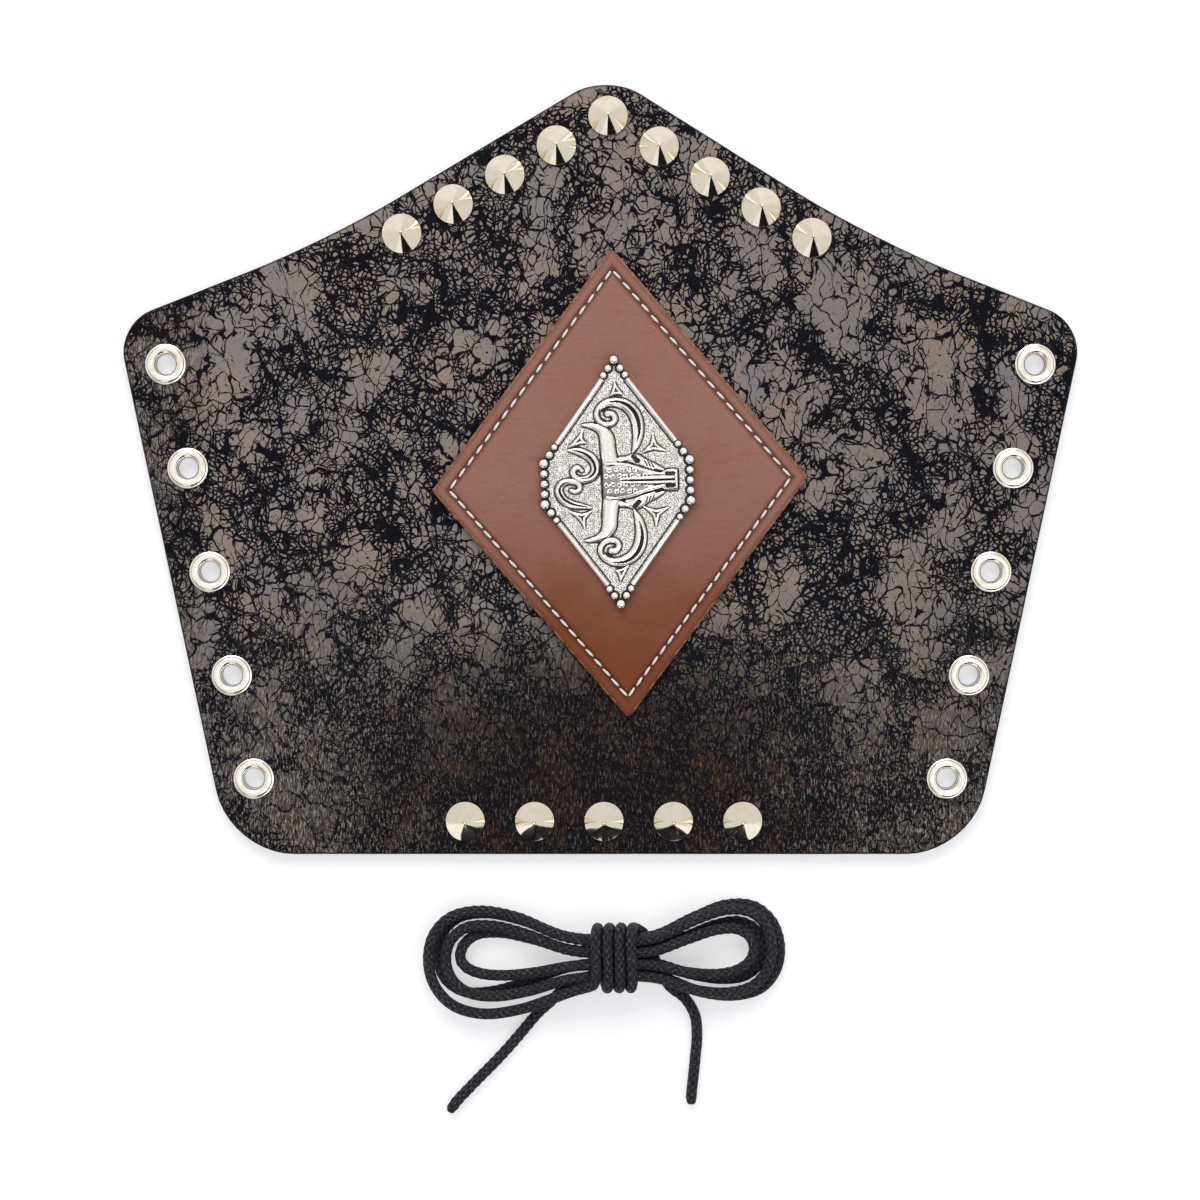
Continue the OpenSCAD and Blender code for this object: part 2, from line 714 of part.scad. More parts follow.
// The winding round the waist, after s turns: it starts at the near side, goes over the
// top and ends below, where it runs off to the right
wrap_turns = 3.75;
wrap_step = lace_d + lace_gap;
wrap_x = -5.6;
wrap_side = 1.5 * waist_step + 0.35;
function square(v) = max(-1, min(1, v / 0.35));
function wrap_at(s) =
  let (
    a = 180 - 360 * s,
    run_in = pow(max(0, 1 - s / 0.25), 2),
    run_off = pow(max(0, (s - wrap_turns + 0.25) / 0.25), 2),
    x = wrap_x + wrap_step * s - 6.5 * run_in + 4 * run_off
  )
  [
    x,
    lift(x) - 0.25 * waist_step + wrap_side * square(cos(a)) + wrap_reach * cos(a),
    lace_r + wrap_reach + layer_step / 2 * (1 + square(sin(a))) + wrap_reach * sin(a)
  ];
wrap_route = [
  hank_end,
  hank_end + lace_d * hank_way_out,
  for (i = [2 : wrap_turns * loop_rings]) wrap_at(i / loop_rings)
];
wrap_end = wrap_at(wrap_turns);
wrap_way_out = unit(wrap_end - wrap_at(wrap_turns - 1 / loop_rings));

// The tails, from where they lie to where they join: the third value is the height of
// the cord above the floor
tail_left_lie = [
  [-44, -36.8, 0],
  [-41.6, -34, 0],
  [-38.6, -31.2, 0],
  [-35.4, -28.3, 0],
  [-32, -25.3, 0],
  [-28, -21.5, 0],
  [-24, -17.4, 0],
  [-20, -13.2, 0.5],
  [-16, -9.8, 1.8],
  [-12.6, -7.7, 3]
];
tail_right_lie = [
  [13.5, -8.6, 0],
  [17.2, -12, 0],
  [19.4, -16.5, 0],
  [19.6, -21.5, 0],
  [18.9, -26.5, 0],
  [18, -32, 0],
  [17.3, -36, 0],
  [17, -38.8, 0]
];
tail_left_route = [
  for (q = tail_left_lie) q + [0, 0, lace_r],
  hank_start - lace_d * hank_way_in,
  hank_start
];
tail_right_route = [
  wrap_end,
  wrap_end + lace_d * wrap_way_out,
  for (q = tail_right_lie) q + [0, 0, lace_r]
];

// One unbroken tube along a route. Each ring is square to the way it runs there, and
// is set by a direction that the route never follows.
function way(route, i) =
  let (
    m = len(route) - 1,
    back = i > 0 ? unit(route[i] - route[i - 1]) : unit(route[1] - route[0]),
    ahead = i < m ? unit(route[i + 1] - route[i]) : back
  )
  unit(back + ahead);
function tube_ring(p, t, guide, sides) =
  let (e = unit(cross(guide, t)), f = cross(t, e))
  [for (k = [0 : sides - 1])
    p + lace_r * (cos(360 * k / sides) * e + sin(360 * k / sides) * f)];
module tube(route, guides, sides) {
  loft([
    for (i = [0 : len(route) - 1])
      tube_ring(route[i], way(route, i), guides[i], sides)
  ]);
}
function upright(route) = [for (q = route) [0, 0, 1]];
wrap_middle = lace_r + wrap_reach + layer_step / 2;
wrap_guides = [
  for (q = wrap_route) [0, q.y - lift(q.x) + 0.25 * waist_step, q.z - wrap_middle]
];

module lay_lace() {
  color([0.1, 0.1, 0.12])
  translate([lace_x, base.y - lace_drop, 0])
    rotate([0, 0, lace_turn])
      children();
}
module lace_hank() {
  lay_lace() tube(hank_route, upright(hank_route), 6);
}
module lace_wrap() {
  lay_lace() tube(wrap_route, wrap_guides, 6);
}
module lace_tail_left() {
  lay_lace() tube(tail_left_route, upright(tail_left_route), 8);
}
module lace_tail_right() {
  lay_lace() tube(tail_right_route, upright(tail_right_route), 8);
}

// Least gap of a tube to itself, between points at a fifth of the way along each step,
// leaving out those that follow each other within six steps
function dense(r) = [
  for (i = [0 : len(r) - 2], j = [0 : 4]) r[i] + (r[i + 1] - r[i]) * j / 5
];
function least_gap(r) =
  let (d = dense(r), n = len(d))
  min([for (i = [0 : n - 31]) min([for (j = [i + 30 : n - 1]) norm(d[i] - d[j])])])
    - lace_d;
function run_length(r) = norm_sum([for (i = [1 : len(r) - 1]) norm(r[i] - r[i - 1])]);
function norm_sum(v) = v * [for (q = v) 1];
echo(hank_least_gap = least_gap(hank_route), wrap_least_gap = least_gap(wrap_route));
echo(lace_length = run_length(tail_left_route) + run_length(hank_route)
  + run_length(wrap_route) + run_length(tail_right_route));

outer_leather();
diamond_patch();
patch_thread();
concho();
concho_screw();
module set_at(p, tone) {
  color(tone) translate([p.x, p.y, 0]) children();
}
for (i = [1 : top_studs]) {
  set_at(top_stud_at(i), [0.86, 0.83, 0.76]) stud_cone();
  set_at(top_stud_at(i), [0.7, 0.69, 0.66]) stud_screw();
}
for (i = [1 : low_studs]) {
  set_at(low_stud_at(i), [0.86, 0.83, 0.76]) stud_cone();
  set_at(low_stud_at(i), [0.7, 0.69, 0.66]) stud_screw();
}
for (side = [-1, 1], i = [1 : side_eyelets]) {
  hand = side < 0 ? "left" : "right";
  set_at(eyelet_at(side, i), [0.9, 0.87, 0.78]) eyelet();
  set_at(eyelet_at(side, i), [0.75, 0.73, 0.68]) washer();
}
lace_hank();
lace_wrap();
lace_tail_left();
lace_tail_right();
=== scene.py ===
import math

import bmesh
import bpy
import numpy as np
from mathutils import Matrix, Vector


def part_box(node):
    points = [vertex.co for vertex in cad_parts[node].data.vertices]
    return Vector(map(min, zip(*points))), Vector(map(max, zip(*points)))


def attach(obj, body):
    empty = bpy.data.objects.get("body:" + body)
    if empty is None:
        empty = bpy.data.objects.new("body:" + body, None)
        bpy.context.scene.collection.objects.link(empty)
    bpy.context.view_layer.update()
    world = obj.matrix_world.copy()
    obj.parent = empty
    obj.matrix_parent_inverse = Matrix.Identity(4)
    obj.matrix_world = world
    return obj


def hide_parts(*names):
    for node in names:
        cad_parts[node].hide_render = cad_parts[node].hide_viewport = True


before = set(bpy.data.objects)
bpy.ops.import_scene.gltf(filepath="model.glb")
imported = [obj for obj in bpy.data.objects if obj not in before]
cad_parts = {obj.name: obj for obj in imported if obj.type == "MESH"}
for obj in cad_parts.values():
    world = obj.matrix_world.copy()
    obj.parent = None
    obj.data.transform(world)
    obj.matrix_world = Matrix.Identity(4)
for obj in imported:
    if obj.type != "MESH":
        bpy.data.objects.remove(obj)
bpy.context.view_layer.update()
scene = bpy.context.scene
scene.view_settings.view_transform = "Standard"

# The camera hangs 0.72 m above the outer face, nearly over the middle of the sheet, and
# takes in a square 300 mm wide: the bracer in its upper part, the lace below it.
sheet_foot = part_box("outer_leather")[0].z
sheet_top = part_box("outer_leather")[1].z
camera_rise = 0.72
picture_width = 0.3
camera_foot = Vector((-0.0001, 0.005, sheet_top))
camera_aim = Vector((-0.0001, -0.014, sheet_top))
picture_middle = -0.0324
sensor = 36
lens = bpy.data.cameras.new("studio_camera")
lens.sensor_width = sensor
lens.lens = sensor * camera_rise / picture_width
lens.shift_y = (picture_middle - camera_aim.y) / picture_width
camera = bpy.data.objects.new("studio_camera", lens)
camera.location = camera_foot + Vector((0, 0, camera_rise))
backward = (camera.location - camera_aim).normalized()
camera.rotation_euler = (math.atan2(-backward.y, backward.z), 0, 0)
scene.collection.objects.link(camera)
scene.camera = camera


# The lace is one round braid of black waxed cotton, 2.8 mm thick and a metre long. It is
# wound into a hank of four loops and wrapped round its own waist, and its two cut ends
# lie free below. Its run follows the solid's, drawn snug, with plumper inner loops.
lace_d = 2.8
lace_gap = 0.14
waist_step = lace_d + 0.04
layer_step = lace_d + lace_gap + 0.2
lobe_step = 1.5 * (lace_d + lace_gap)
spread_step = 2.7 * (lace_d + lace_gap)
wrap_reach = lace_d + 0.1
right_reach, left_reach = 42.9, 47.6
lobe_half = 27
waist_reach = 6.5
inmost_turn = 1.75
plumper = 0.35
loop_rings = 24
hank_steps = 95
hank_turns = hank_steps / loop_rings
wrap_turns = 3.75
wrap_start = -5.2
hank_middle = Vector((0.0034, -0.1221262, 0))
hank_tilt = math.radians(3.7)
lobe_lift = 2.1


def smooth_step(t):
    s = min(1, max(0, t))
    return s * s * (3 - 2 * s)


def lift(x):
    """How far the hank lies above the line of its waist, more towards the left lobe."""
    return lobe_lift * smooth_step((26 - x) / 60)


def hank_at(u):
    """A place on the hank, u turns from its start: spiralling in below, then out above."""
    phi = math.radians(270 + 360 * u)
    rightward, forward = math.cos(phi), math.sin(phi)
    lobe = rightward ** 2
    layer = smooth_step((u - 1.5) / 0.35)
    turns_in = inmost_turn - math.hypot(u - inmost_turn, 0.08) + 0.5 * layer * lobe
    reach = right_reach if rightward > 0 else left_reach
    x = (reach - lobe_step * turns_in) * rightward
    opening = (math.hypot(max(0, abs(x) - waist_reach), 4) - 4) / reach
    left_top = smooth_step(2.5 * forward) if rightward < 0 else 0
    spread = spread_step * (1 - 0.2 * left_top)
    half = waist_step * (inmost_turn - turns_in) + (lobe_half - spread * turns_in) * opening
    y = forward * half * (1 + plumper * turns_in * lobe)
    y -= 0.5 * waist_step * layer * (1 - lobe)
    drop_from, drop_run = (18, 14) if x > 0 else (11, 16)
    drop = smooth_step((abs(x) - drop_from) / drop_run)
    return Vector((x, y + lift(x), lace_d / 2 + layer_step * layer + wrap_reach * (1 - drop)))


def squared(v):
    """A wave's value with its crest and its trough cut flat."""
    return max(-1, min(1, v / 0.35))


def wrap_at(s):
    """A place on the winding, s turns from its start at the left of the waist."""
    a = math.radians(180 - 360 * s)
    run_in = max(0, 1 - s / 0.25) ** 2
    run_off = max(0, (s - wrap_turns + 0.25) / 0.25) ** 2
    x = wrap_start + (lace_d + lace_gap) * s - 6.5 * run_in + 4 * run_off
    half_wide = 1.5 * waist_step + 0.15
    y = half_wide * squared(math.cos(a)) + wrap_reach * math.cos(a)
    z = layer_step / 2 * (1 + squared(math.sin(a))) + wrap_reach * math.sin(a)
    return Vector((x, y + lift(x) - 0.25 * waist_step, z + lace_d / 2 + wrap_reach))


left_tail = [
    (-44, -36.8, 0), (-41.6, -34, 0), (-38.6, -31.2, 0), (-35.4, -28.3, 0), (-32, -25.3, 0),
    (-28, -21.5, 0), (-24, -17.4, 0), (-20, -13.2, 0.5), (-16, -9.8, 1.8), (-13, -6.9, 3.3),
]
right_tail = [
    (13.5, -8.6, 0), (17.2, -12, 0), (19.4, -16.5, 0), (19.6, -21.5, 0),
    (18.9, -26.5, 0), (18, -32, 0), (17.3, -36, 0), (17, -38.8, 0),
]
on_floor = Vector((0, 0, lace_d / 2))
hank_start = hank_at(0) + 0.72 * (hank_at(-1 / loop_rings) - hank_at(0))
hank_end = hank_at(hank_turns)
way_out = (hank_end - hank_at(hank_turns - 1 / loop_rings)).normalized()
wrap_end = wrap_at(wrap_turns)
way_off = (wrap_end - wrap_at(wrap_turns - 1 / loop_rings)).normalized()
lace_marks = [Vector(q) + on_floor for q in left_tail] + [hank_start]
lace_marks += [hank_at(i / loop_rings) for i in range(hank_steps + 1)]
lace_marks += [hank_end + lace_d * way_out]
lace_marks += [wrap_at(i / loop_rings) for i in range(2, int(wrap_turns * loop_rings) + 1)]
lace_marks += [wrap_end + lace_d * way_off]
lace_marks += [Vector(q) + on_floor for q in right_tail]
lay = (Matrix.Translation(hank_middle) @ Matrix.Rotation(hank_tilt, 4, "Z")
       @ Matrix.Scale(0.001, 4))
lace_marks = [lay @ q for q in lace_marks]


def eased_run(marks, step):
    """A smooth run through the marks, with a point about every step.

    A mark is a place, or a place with sizes that are eased along with it.
    """
    marks = [np.array(m, float) for m in marks]
    ends = [2 * marks[0] - marks[1], *marks, 2 * marks[-1] - marks[-2]]
    run = []
    for a, b, c, d in zip(ends, ends[1:], ends[2:], ends[3:]):
        k = [0.0]
        for p, q in ((a, b), (b, c), (c, d)):
            k.append(k[-1] + max(np.linalg.norm((q - p)[:3]), 1e-9) ** 0.5)
        count = max(1, round(np.linalg.norm((c - b)[:3]) / step))
        for t in np.linspace(k[1], k[2], count, endpoint=False):
            e = ((k[1] - t) * a + (t - k[0]) * b) / (k[1] - k[0])
            f = ((k[2] - t) * b + (t - k[1]) * c) / (k[2] - k[1])
            g = ((k[3] - t) * c + (t - k[2]) * d) / (k[3] - k[2])
            e = ((k[2] - t) * e + (t - k[0]) * f) / (k[2] - k[0])
            f = ((k[3] - t) * f + (t - k[1]) * g) / (k[3] - k[1])
            run.append(((k[2] - t) * e + (t - k[1]) * f) / (k[2] - k[1]))
    run.append(marks[-1])
    return np.array(run)


def finished(bm, name, paint, body, replaces, sharp):
    """Turns a bmesh into a piece that rides on a body, crisp where it bends past sharp."""
    for face in bm.faces:
        face.smooth = True
    for edge in bm.edges:
        if edge.is_manifold and edge.calc_face_angle(0) > math.radians(sharp):
            edge.smooth = False
    mesh = bpy.data.meshes.new(name)
    bm.to_mesh(mesh)
    bm.free()
    mesh.materials.append(paint)
    piece = bpy.data.objects.new(name, mesh)
    scene.collection.objects.link(piece)
    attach(piece, body)
    if replaces:
        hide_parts(*replaces)
    return piece


class Wire:
    """One output of a material's nodes. Sums on it add Math nodes."""

    def __init__(self, tree, socket):
        self.tree = tree
        self.socket = socket

    def node(self, kind, settings, inputs, output=0):
        made = self.tree.nodes.new("ShaderNode" + kind)
        for key, value in settings.items():
            setattr(made, key, value)
        for key, value in inputs.items():
            if isinstance(value, Wire):
                self.tree.links.new(value.socket, made.inputs[key])
            else:
                made.inputs[key].default_value = value
        return Wire(self.tree, made.outputs[output])

    def math(self, operation, *values):
        return self.node("Math", {"operation": operation}, dict(enumerate(values)))

    def __add__(self, other):
        return self.math("ADD", self, other)

    def __sub__(self, other):
        return self.math("SUBTRACT", self, other)

    def __rsub__(self, other):
        return self.math("SUBTRACT", other, self)

    def __mul__(self, other):
        return self.math("MULTIPLY", self, other)

    __radd__ = __add__
    __rmul__ = __mul__

    def most(self, other):
        return self.math("MAXIMUM", self, other)

    def size(self):
        return self.math("ABSOLUTE", self)

    def cosine(self):
        return self.math("COSINE", self)

    def rise(self, low, high):
        """0 where the value is at low, 1 where it is at high, eased between."""
        return self.node("MapRange", {"interpolation_type": "SMOOTHSTEP"},
                         {"Value": self, "From Min": low, "From Max": high})

    def mix(self, first, second):
        """This value mixes two colours, 0 for the first and 1 for the second."""
        return self.node("Mix", {"data_type": "RGBA"}, {0: self, 6: first, 7: second}, 2)

    def noise(self, scale, detail=2, rough=0.5, output=0):
        return self.node("TexNoise", {}, {"Vector": self, "Scale": scale, "Detail": detail,
                                          "Roughness": rough}, output)

    def cells(self, size, feature="DISTANCE_TO_EDGE"):
        """How far it is to the edge of a cell about size wide, or with F1 to its middle."""
        way = self.node("TexVoronoi", {"feature": feature, "voronoi_dimensions": "2D"},
                        {"Vector": self, "Scale": 1 / size}, "Distance")
        return way * size

    def moved(self, by, amount):
        """This place, moved by a noise's colour, amount in the place's own units."""
        middle = self.node("VectorMath", {"operation": "SUBTRACT"}, {0: by, 1: (0.5, 0.5, 0.5)})
        scaled = self.node("VectorMath", {"operation": "SCALE"}, {0: middle, "Scale": amount})
        return self.node("VectorMath", {"operation": "ADD"}, {0: self, 1: scaled})

    def axis(self, k):
        return self.node("SeparateXYZ", {}, {"Vector": self}, k)

    def mapped(self, turn=(0, 0, 0), scale=(1, 1, 1), shift=(0, 0, 0)):
        return self.node("Mapping", {}, {"Vector": self, "Location": shift, "Rotation": turn,
                                         "Scale": scale})


def shown_by(tree, kind, surface):
    """Ends a tree of nodes with the output that shows its surface."""
    out = tree.nodes.new("ShaderNodeOutput" + kind)
    tree.links.new(surface.socket, out.inputs["Surface"])


def new_paint(name, source="Object"):
    """A material, the place on the piece in millimetres (or its UV), and its finishing call."""
    paint = bpy.data.materials.new(name)
    paint.use_nodes = True
    tree = paint.node_tree
    tree.nodes.clear()
    start = Wire(tree, None)
    place = start.node("TexCoord", {}, {}, source)
    if source == "Object":
        place = place.node("VectorMath", {"operation": "SCALE"}, {0: place, "Scale": 1000})

    def coat(height=None, depth=0, **inputs):
        """Ends the material with a finish. Where height is 1 it stands depth metres proud."""
        if height is not None:
            inputs["Normal"] = start.node("Bump", {}, {"Strength": 1, "Distance": depth,
                                                       "Height": height})
        named = {key.replace("_", " "): value for key, value in inputs.items()}
        surface = start.node("BsdfPrincipled", {}, named)
        shown_by(tree, "Material", surface)
        return paint

    return place, coat


cord_sides = 24
knuckles = 5
knuckle_run = 1.0
knuckle_rise = 0.1
taper_run = 1.6
fray_run = 0.8
fray_rise = 0.12
lace_run = eased_run(lace_marks, 0.00036)
ahead = np.gradient(lace_run, axis=0)
ahead /= np.linalg.norm(ahead, axis=1)[:, None]
along = np.concatenate([[0], np.cumsum(np.linalg.norm(np.diff(lace_run, axis=0), axis=1))]) * 1000
across = np.zeros_like(lace_run)
across[0] = np.cross(ahead[0], (0, 0, 1))
across[0] /= np.linalg.norm(across[0])
for i in range(1, len(lace_run)):
    kept = across[i - 1] - ahead[i] * np.dot(across[i - 1], ahead[i])
    across[i] = kept / np.linalg.norm(kept)
upward = np.cross(ahead, across)
bm = bmesh.new()
bm.loops.layers.uv.new("UVMap")
bmesh.ops.create_grid(bm, x_segments=len(lace_run) - 1, y_segments=cord_sides, size=1,
                      calc_uvs=True)
from_end = np.minimum(along, along[-1] - along)
for v in bm.verts:
    i = round((v.co.x + 1) / 2 * (len(lace_run) - 1))
    turn = (v.co.y + 1) * math.pi
    phase = math.pi * along[i] / knuckle_run
    bump = knuckle_rise * math.cos(knuckles * turn) * math.cos(phase)
    taper = 0.55 + 0.45 * math.sqrt(min(1, from_end[i] / taper_run))
    frayed = fray_rise * math.sin(3 * turn + 1) * max(0, 1 - from_end[i] / fray_run)
    radius = ((lace_d / 2 - knuckle_rise / 2 + bump) * taper + frayed) / 1000
    v.co = lace_run[i] + radius * (math.cos(turn) * across[i] + math.sin(turn) * upward[i])
bmesh.ops.remove_doubles(bm, verts=bm.verts, dist=1e-7)
bmesh.ops.holes_fill(bm, edges=[e for e in bm.edges if e.is_boundary], sides=0)
bmesh.ops.recalc_face_normals(bm, faces=bm.faces)

place, coat = new_paint("waxed_black_braid", "UV")
lace_girth = 8.8
yarn = place.mapped(scale=(along[-1], lace_girth, 1))
fibres = yarn.mapped(turn=(0, 0, 0.45), scale=(1, 3.2, 1)).noise(2.4, 3, 0.6)
glint_flecks = yarn.mapped(turn=(0, 0, -0.4), scale=(1, 2.6, 1)).noise(1.2, 4, 0.7).rise(0.54, 0.64)
wear = yarn.noise(0.35, 3)
tone = wear.rise(0.35, 0.65).mix((0.0022, 0.0025, 0.0055, 1), (0.007, 0.0077, 0.013, 1))
crest = (yarn.axis(0) * (math.pi / knuckle_run)).cosine()
crest = crest * (place.axis(1) * (2 * math.pi * knuckles)).cosine()
# The braid is painted lighter on the crests of its knuckles and darker between them, as painted
# highlight and painted shade; the fibres add their own lighter tone.
fibre_and_crest_sheen = fibres.rise(0.4, 0.7) * 0.5 + crest.rise(-0.3, 0.6) * 0.35
tone = fibre_and_crest_sheen.mix(tone, (0.046, 0.05, 0.064, 1))
# Pale flecks on the knuckle crests are painted glints.
tone = (glint_flecks * crest.rise(-0.9, 0.3) * 0.8).mix(tone, (0.26, 0.27, 0.3, 1))
lace_paint = coat(height=fibres + crest * 0.3 + glint_flecks * 0.4, depth=0.00024, Base_Color=tone,
                  Roughness=0.4 + fibres * 0.3, Specular_IOR_Level=0.14)
lace = finished(bm, "lace", lace_paint, "lace",
                ["lace_hank", "lace_wrap", "lace_tail_left", "lace_tail_right"], 180)


# The bracer's sheet is one layer of thick cowhide, painted black and rubbed back to a
# crackled grey-brown. Its edge is burnished dark, and it is punched for its fittings.
half_sheet = 96.3262
outline = [
    ((-93.1, 0), 20, 10), ((93.1, 0), 20, 10), ((120.9, 132.9), 11, 10),
    ((68.3, 153.7), 240, 8), ((1.6, 195.4), 16, 10), ((-68.3, 153.7), 240, 8),
    ((-120.9, 132.9), 11, 10),
]
burnish_r = 0.7
eyelet_spots = [
    (side * x, y)
    for side in (-1, 1)
    for x, y in ((108.578, 26.5073), (103.152, 0.5688), (97.7261, -25.3698),
                 (92.3003, -51.3084), (86.8745, -77.247))
]
peak_spot = (1.9, 88.3259)
top_spots = [
    (-49.5645, 59.0675), (-36.6983, 66.3821), (-23.8322, 73.6967), (-10.9661, 81.0113),
    peak_spot, (14.6109, 80.7447), (27.3217, 73.1636), (40.0326, 65.5824),
    (52.7435, 58.0013),
]
bottom_spots = [(x, -87.9259) for x in (-33.9, -16.5, 0.9, 18.3, 35.7)]
concho_spot = (4.1822, -2.8519)
eyelet_hole_r, screw_hole_r, boss_hole_r = 3.1, 1.55, 2.7
patch_spot = (4.9, -3.3262)
patch_half = (47, 58.8)
patch_reach = patch_half[0] * patch_half[1] / math.hypot(*patch_half)


def corner_run(before, spot, after, radius):
    """How far from a corner its rounding of that radius starts."""
    u = (Vector(before) - Vector(spot)).normalized()
    v = (Vector(after) - Vector(spot)).normalized()
    return radius / math.tan(u.angle(v) / 2)


def rounded_face(bm, corners, z):
    """A flat face at height z, with each corner (place, radius, steps) rounded."""
    spots = [Vector((c[0][0] / 1000, c[0][1] / 1000, z)) for c in corners]
    ring = [bm.verts.new(p) for p in spots]
    bm.faces.new(ring)
    count = len(corners)
    for i, (spot, radius, steps) in enumerate(corners):
        run = corner_run(corners[i - 1][0], spot, corners[(i + 1) % count][0], radius)
        vert = min(bm.verts, key=lambda v: (v.co - spots[i]).length)
        bmesh.ops.bevel(bm, geom=[vert], offset=run / 1000, offset_type="OFFSET",
                        segments=steps, profile=0.5, affect="VERTICES", material=-1)
    return bm.faces[:][0]


def raised(bm, face, height):
    """Pulls a face up by height and closes the walls and the underside."""
    made = bmesh.ops.extrude_face_region(bm, geom=[face], use_keep_orig=True)
    tops = [f for f in made["geom"] if isinstance(f, bmesh.types.BMFace)]
    verts = [v for v in made["geom"] if isinstance(v, bmesh.types.BMVert)]
    bmesh.ops.translate(bm, vec=(0, 0, height), verts=verts)
    bmesh.ops.recalc_face_normals(bm, faces=bm.faces)
    return tops[0]


bm = bmesh.new()
face = rounded_face(bm, [((x, y - half_sheet), r, n) for (x, y), r, n in outline], sheet_foot)
raised(bm, face, sheet_top - sheet_foot)
rims = [e for e in bm.edges if abs(e.verts[0].co.z - e.verts[1].co.z) < 1e-6]
bmesh.ops.bevel(bm, geom=rims, offset=burnish_r / 1000, offset_type="OFFSET", segments=4,
                profile=0.5, affect="EDGES", material=-1)
sheet_mesh = bpy.data.meshes.new("sheet_blank")
bm.to_mesh(sheet_mesh)
bm.free()
sheet_blank = bpy.data.objects.new("sheet_blank", sheet_mesh)
scene.collection.objects.link(sheet_blank)
bm = bmesh.new()
punches = [(spot, eyelet_hole_r) for spot in eyelet_spots]
punches += [(spot, screw_hole_r) for spot in top_spots + bottom_spots]
punches += [(concho_spot, boss_hole_r)]
for (x, y), radius in punches:
    made = bmesh.ops.create_cone(bm, cap_ends=True, segments=40, radius1=radius / 1000,
                                 radius2=radius / 1000, depth=0.02)
    bmesh.ops.translate(bm, verts=made["verts"], vec=(x / 1000, y / 1000, 0))
punch_mesh = bpy.data.meshes.new("punches")
bm.to_mesh(punch_mesh)
bm.free()
punch_tool = bpy.data.objects.new("punches", punch_mesh)
scene.collection.objects.link(punch_tool)
cut = sheet_blank.modifiers.new("punched", "BOOLEAN")
cut.operation = "DIFFERENCE"
cut.solver = "EXACT"
cut.object = punch_tool
punched = sheet_blank.evaluated_get(bpy.context.evaluated_depsgraph_get())
bm = bmesh.new()
bm.from_mesh(punched.to_mesh())
for tool in (sheet_blank, punch_tool):
    bpy.data.objects.remove(tool)
bmesh.ops.remove_doubles(bm, verts=bm.verts, dist=1e-7)


def gridded(bm, reach, step):
    """Cuts a mesh along a square grid, so that its faces can take a soft relief."""
    for axis in (0, 1):
        for k in range(1, int(2 * reach[axis] / step) + 1):
            at = k * step - reach[axis]
            normal = (1, 0, 0) if axis == 0 else (0, 1, 0)
            point = (at, 0, 0) if axis == 0 else (0, at, 0)
            bmesh.ops.bisect_plane(bm, geom=bm.verts[:] + bm.edges[:] + bm.faces[:],
                                   plane_co=point, plane_no=normal, dist=1e-7)


grid_reach, grid_step = (0.1195, 0.0965), 0.003
flat_by, swell_run = 6.5, 9
burnish_drop = 0.12
gridded(bm, grid_reach, grid_step)
pinned = np.array([spot for spot, radius in punches])
burnish = bm.verts.layers.float.new("burnish")
for v in bm.verts:
    x, y = v.co.x * 1000, v.co.y * 1000
    v[burnish] = smooth_step((sheet_top - v.co.z) * 1000 / burnish_drop)
    calm = np.min(np.hypot(pinned[:, 0] - x, pinned[:, 1] - y))
    across_patch = abs(x - patch_spot[0]) / patch_half[0]
    along_patch = abs(y - patch_spot[1]) / patch_half[1]
    calm = min(calm, (across_patch + along_patch - 1) * patch_reach)
    free = smooth_step((calm - flat_by) / swell_run)
    swell = 0.16 * math.sin(x / 11 + 0.7 * math.sin(y / 17)) * math.sin(y / 13 + 0.4)
    swell += 0.07 * math.sin(x / 4.3 + y / 9.1)
    v.co.z += free * swell / 1000

place, coat = new_paint("crackled_hide")
drift = place.noise(0.03, 3, 0.55, "Color")
ripple = place.noise(0.2, 3, 0.5, "Color")
fray = place.noise(0.9, 2, 0.5, "Color")
creased = place.moved(drift, 36).moved(ripple, 4).moved(fray, 0.45)
leaned = creased.mapped(turn=(0, 0, math.radians(28)), scale=(1.2, 0.8, 1))
crumbled = place.moved(place.noise(0.16, 1, 0.5, "Color"), 5).moved(fray, 0.4)
steep = crumbled.mapped(turn=(0, 0, math.radians(18)), scale=(1.15, 0.85, 1))
patchy = place.noise(0.15, 3, 0.6)
gaps = place.noise(0.6, 3, 0.55)
vein = leaned.cells(27)
crowd = (1 - vein.rise(0, 8)) * 0.42 + place.noise(0.045, 4, 0.6).rise(0.36, 0.66) * 0.36
crowd = (crowd + patchy * 1.5 - 0.74).rise(-0.4, 1.1)
trunks = gaps.rise(0.35, 0.7) * 0.5 + patchy.rise(0.42, 0.68) * 1.1 - 0.28 - vein
plates = gaps * 0.3 + crowd * 0.28 - 0.02 - leaned.cells(7)
pebbles = crowd.rise(0.05, 0.45) * 0.28 + gaps * 0.24 - 0.2 - steep.cells(2.9)
pebbles = pebbles.most(steep.cells(2.9, "F1") + crowd * 0.8 - 2.5)
grains = crowd.rise(0.33, 0.65) * 0.25 + gaps * 0.2 - 0.15 - crumbled.cells(1.25)
grains = grains.most(crumbled.cells(1.25, "F1") + crowd * 0.55 - 1.15)
dashes = crumbled.mapped(turn=(0, 0, -0.45), scale=(1.6, 0.5, 1)).noise(1.5, 3, 0.65)
dark = trunks.rise(-0.1, 0.1).most(plates.rise(-0.06, 0.06)).most(pebbles.rise(-0.06, 0.06))
dark = dark.most(grains.rise(-0.05, 0.06)).most(dashes.rise(0.63, 0.69) * 0.7)
warm = place.noise(0.07, 3, 0.55)
fine = place.noise(3.2, 4, 0.7)
low = 1 - (place.axis(1) + place.noise(0.02, 2, 0.5) * 60).rise(-52, 12)
shade_x, shade_y = place.axis(0) * 0.0145, (place.axis(1) + 84) * 0.022
dusk_shade = 1 - (shade_x * shade_x + shade_y * shade_y + patchy).rise(0.5, 1.9)
streak = place.moved(fray, 0.5).mapped(scale=(1, 0.22, 1)).noise(2.9, 3, 0.65)
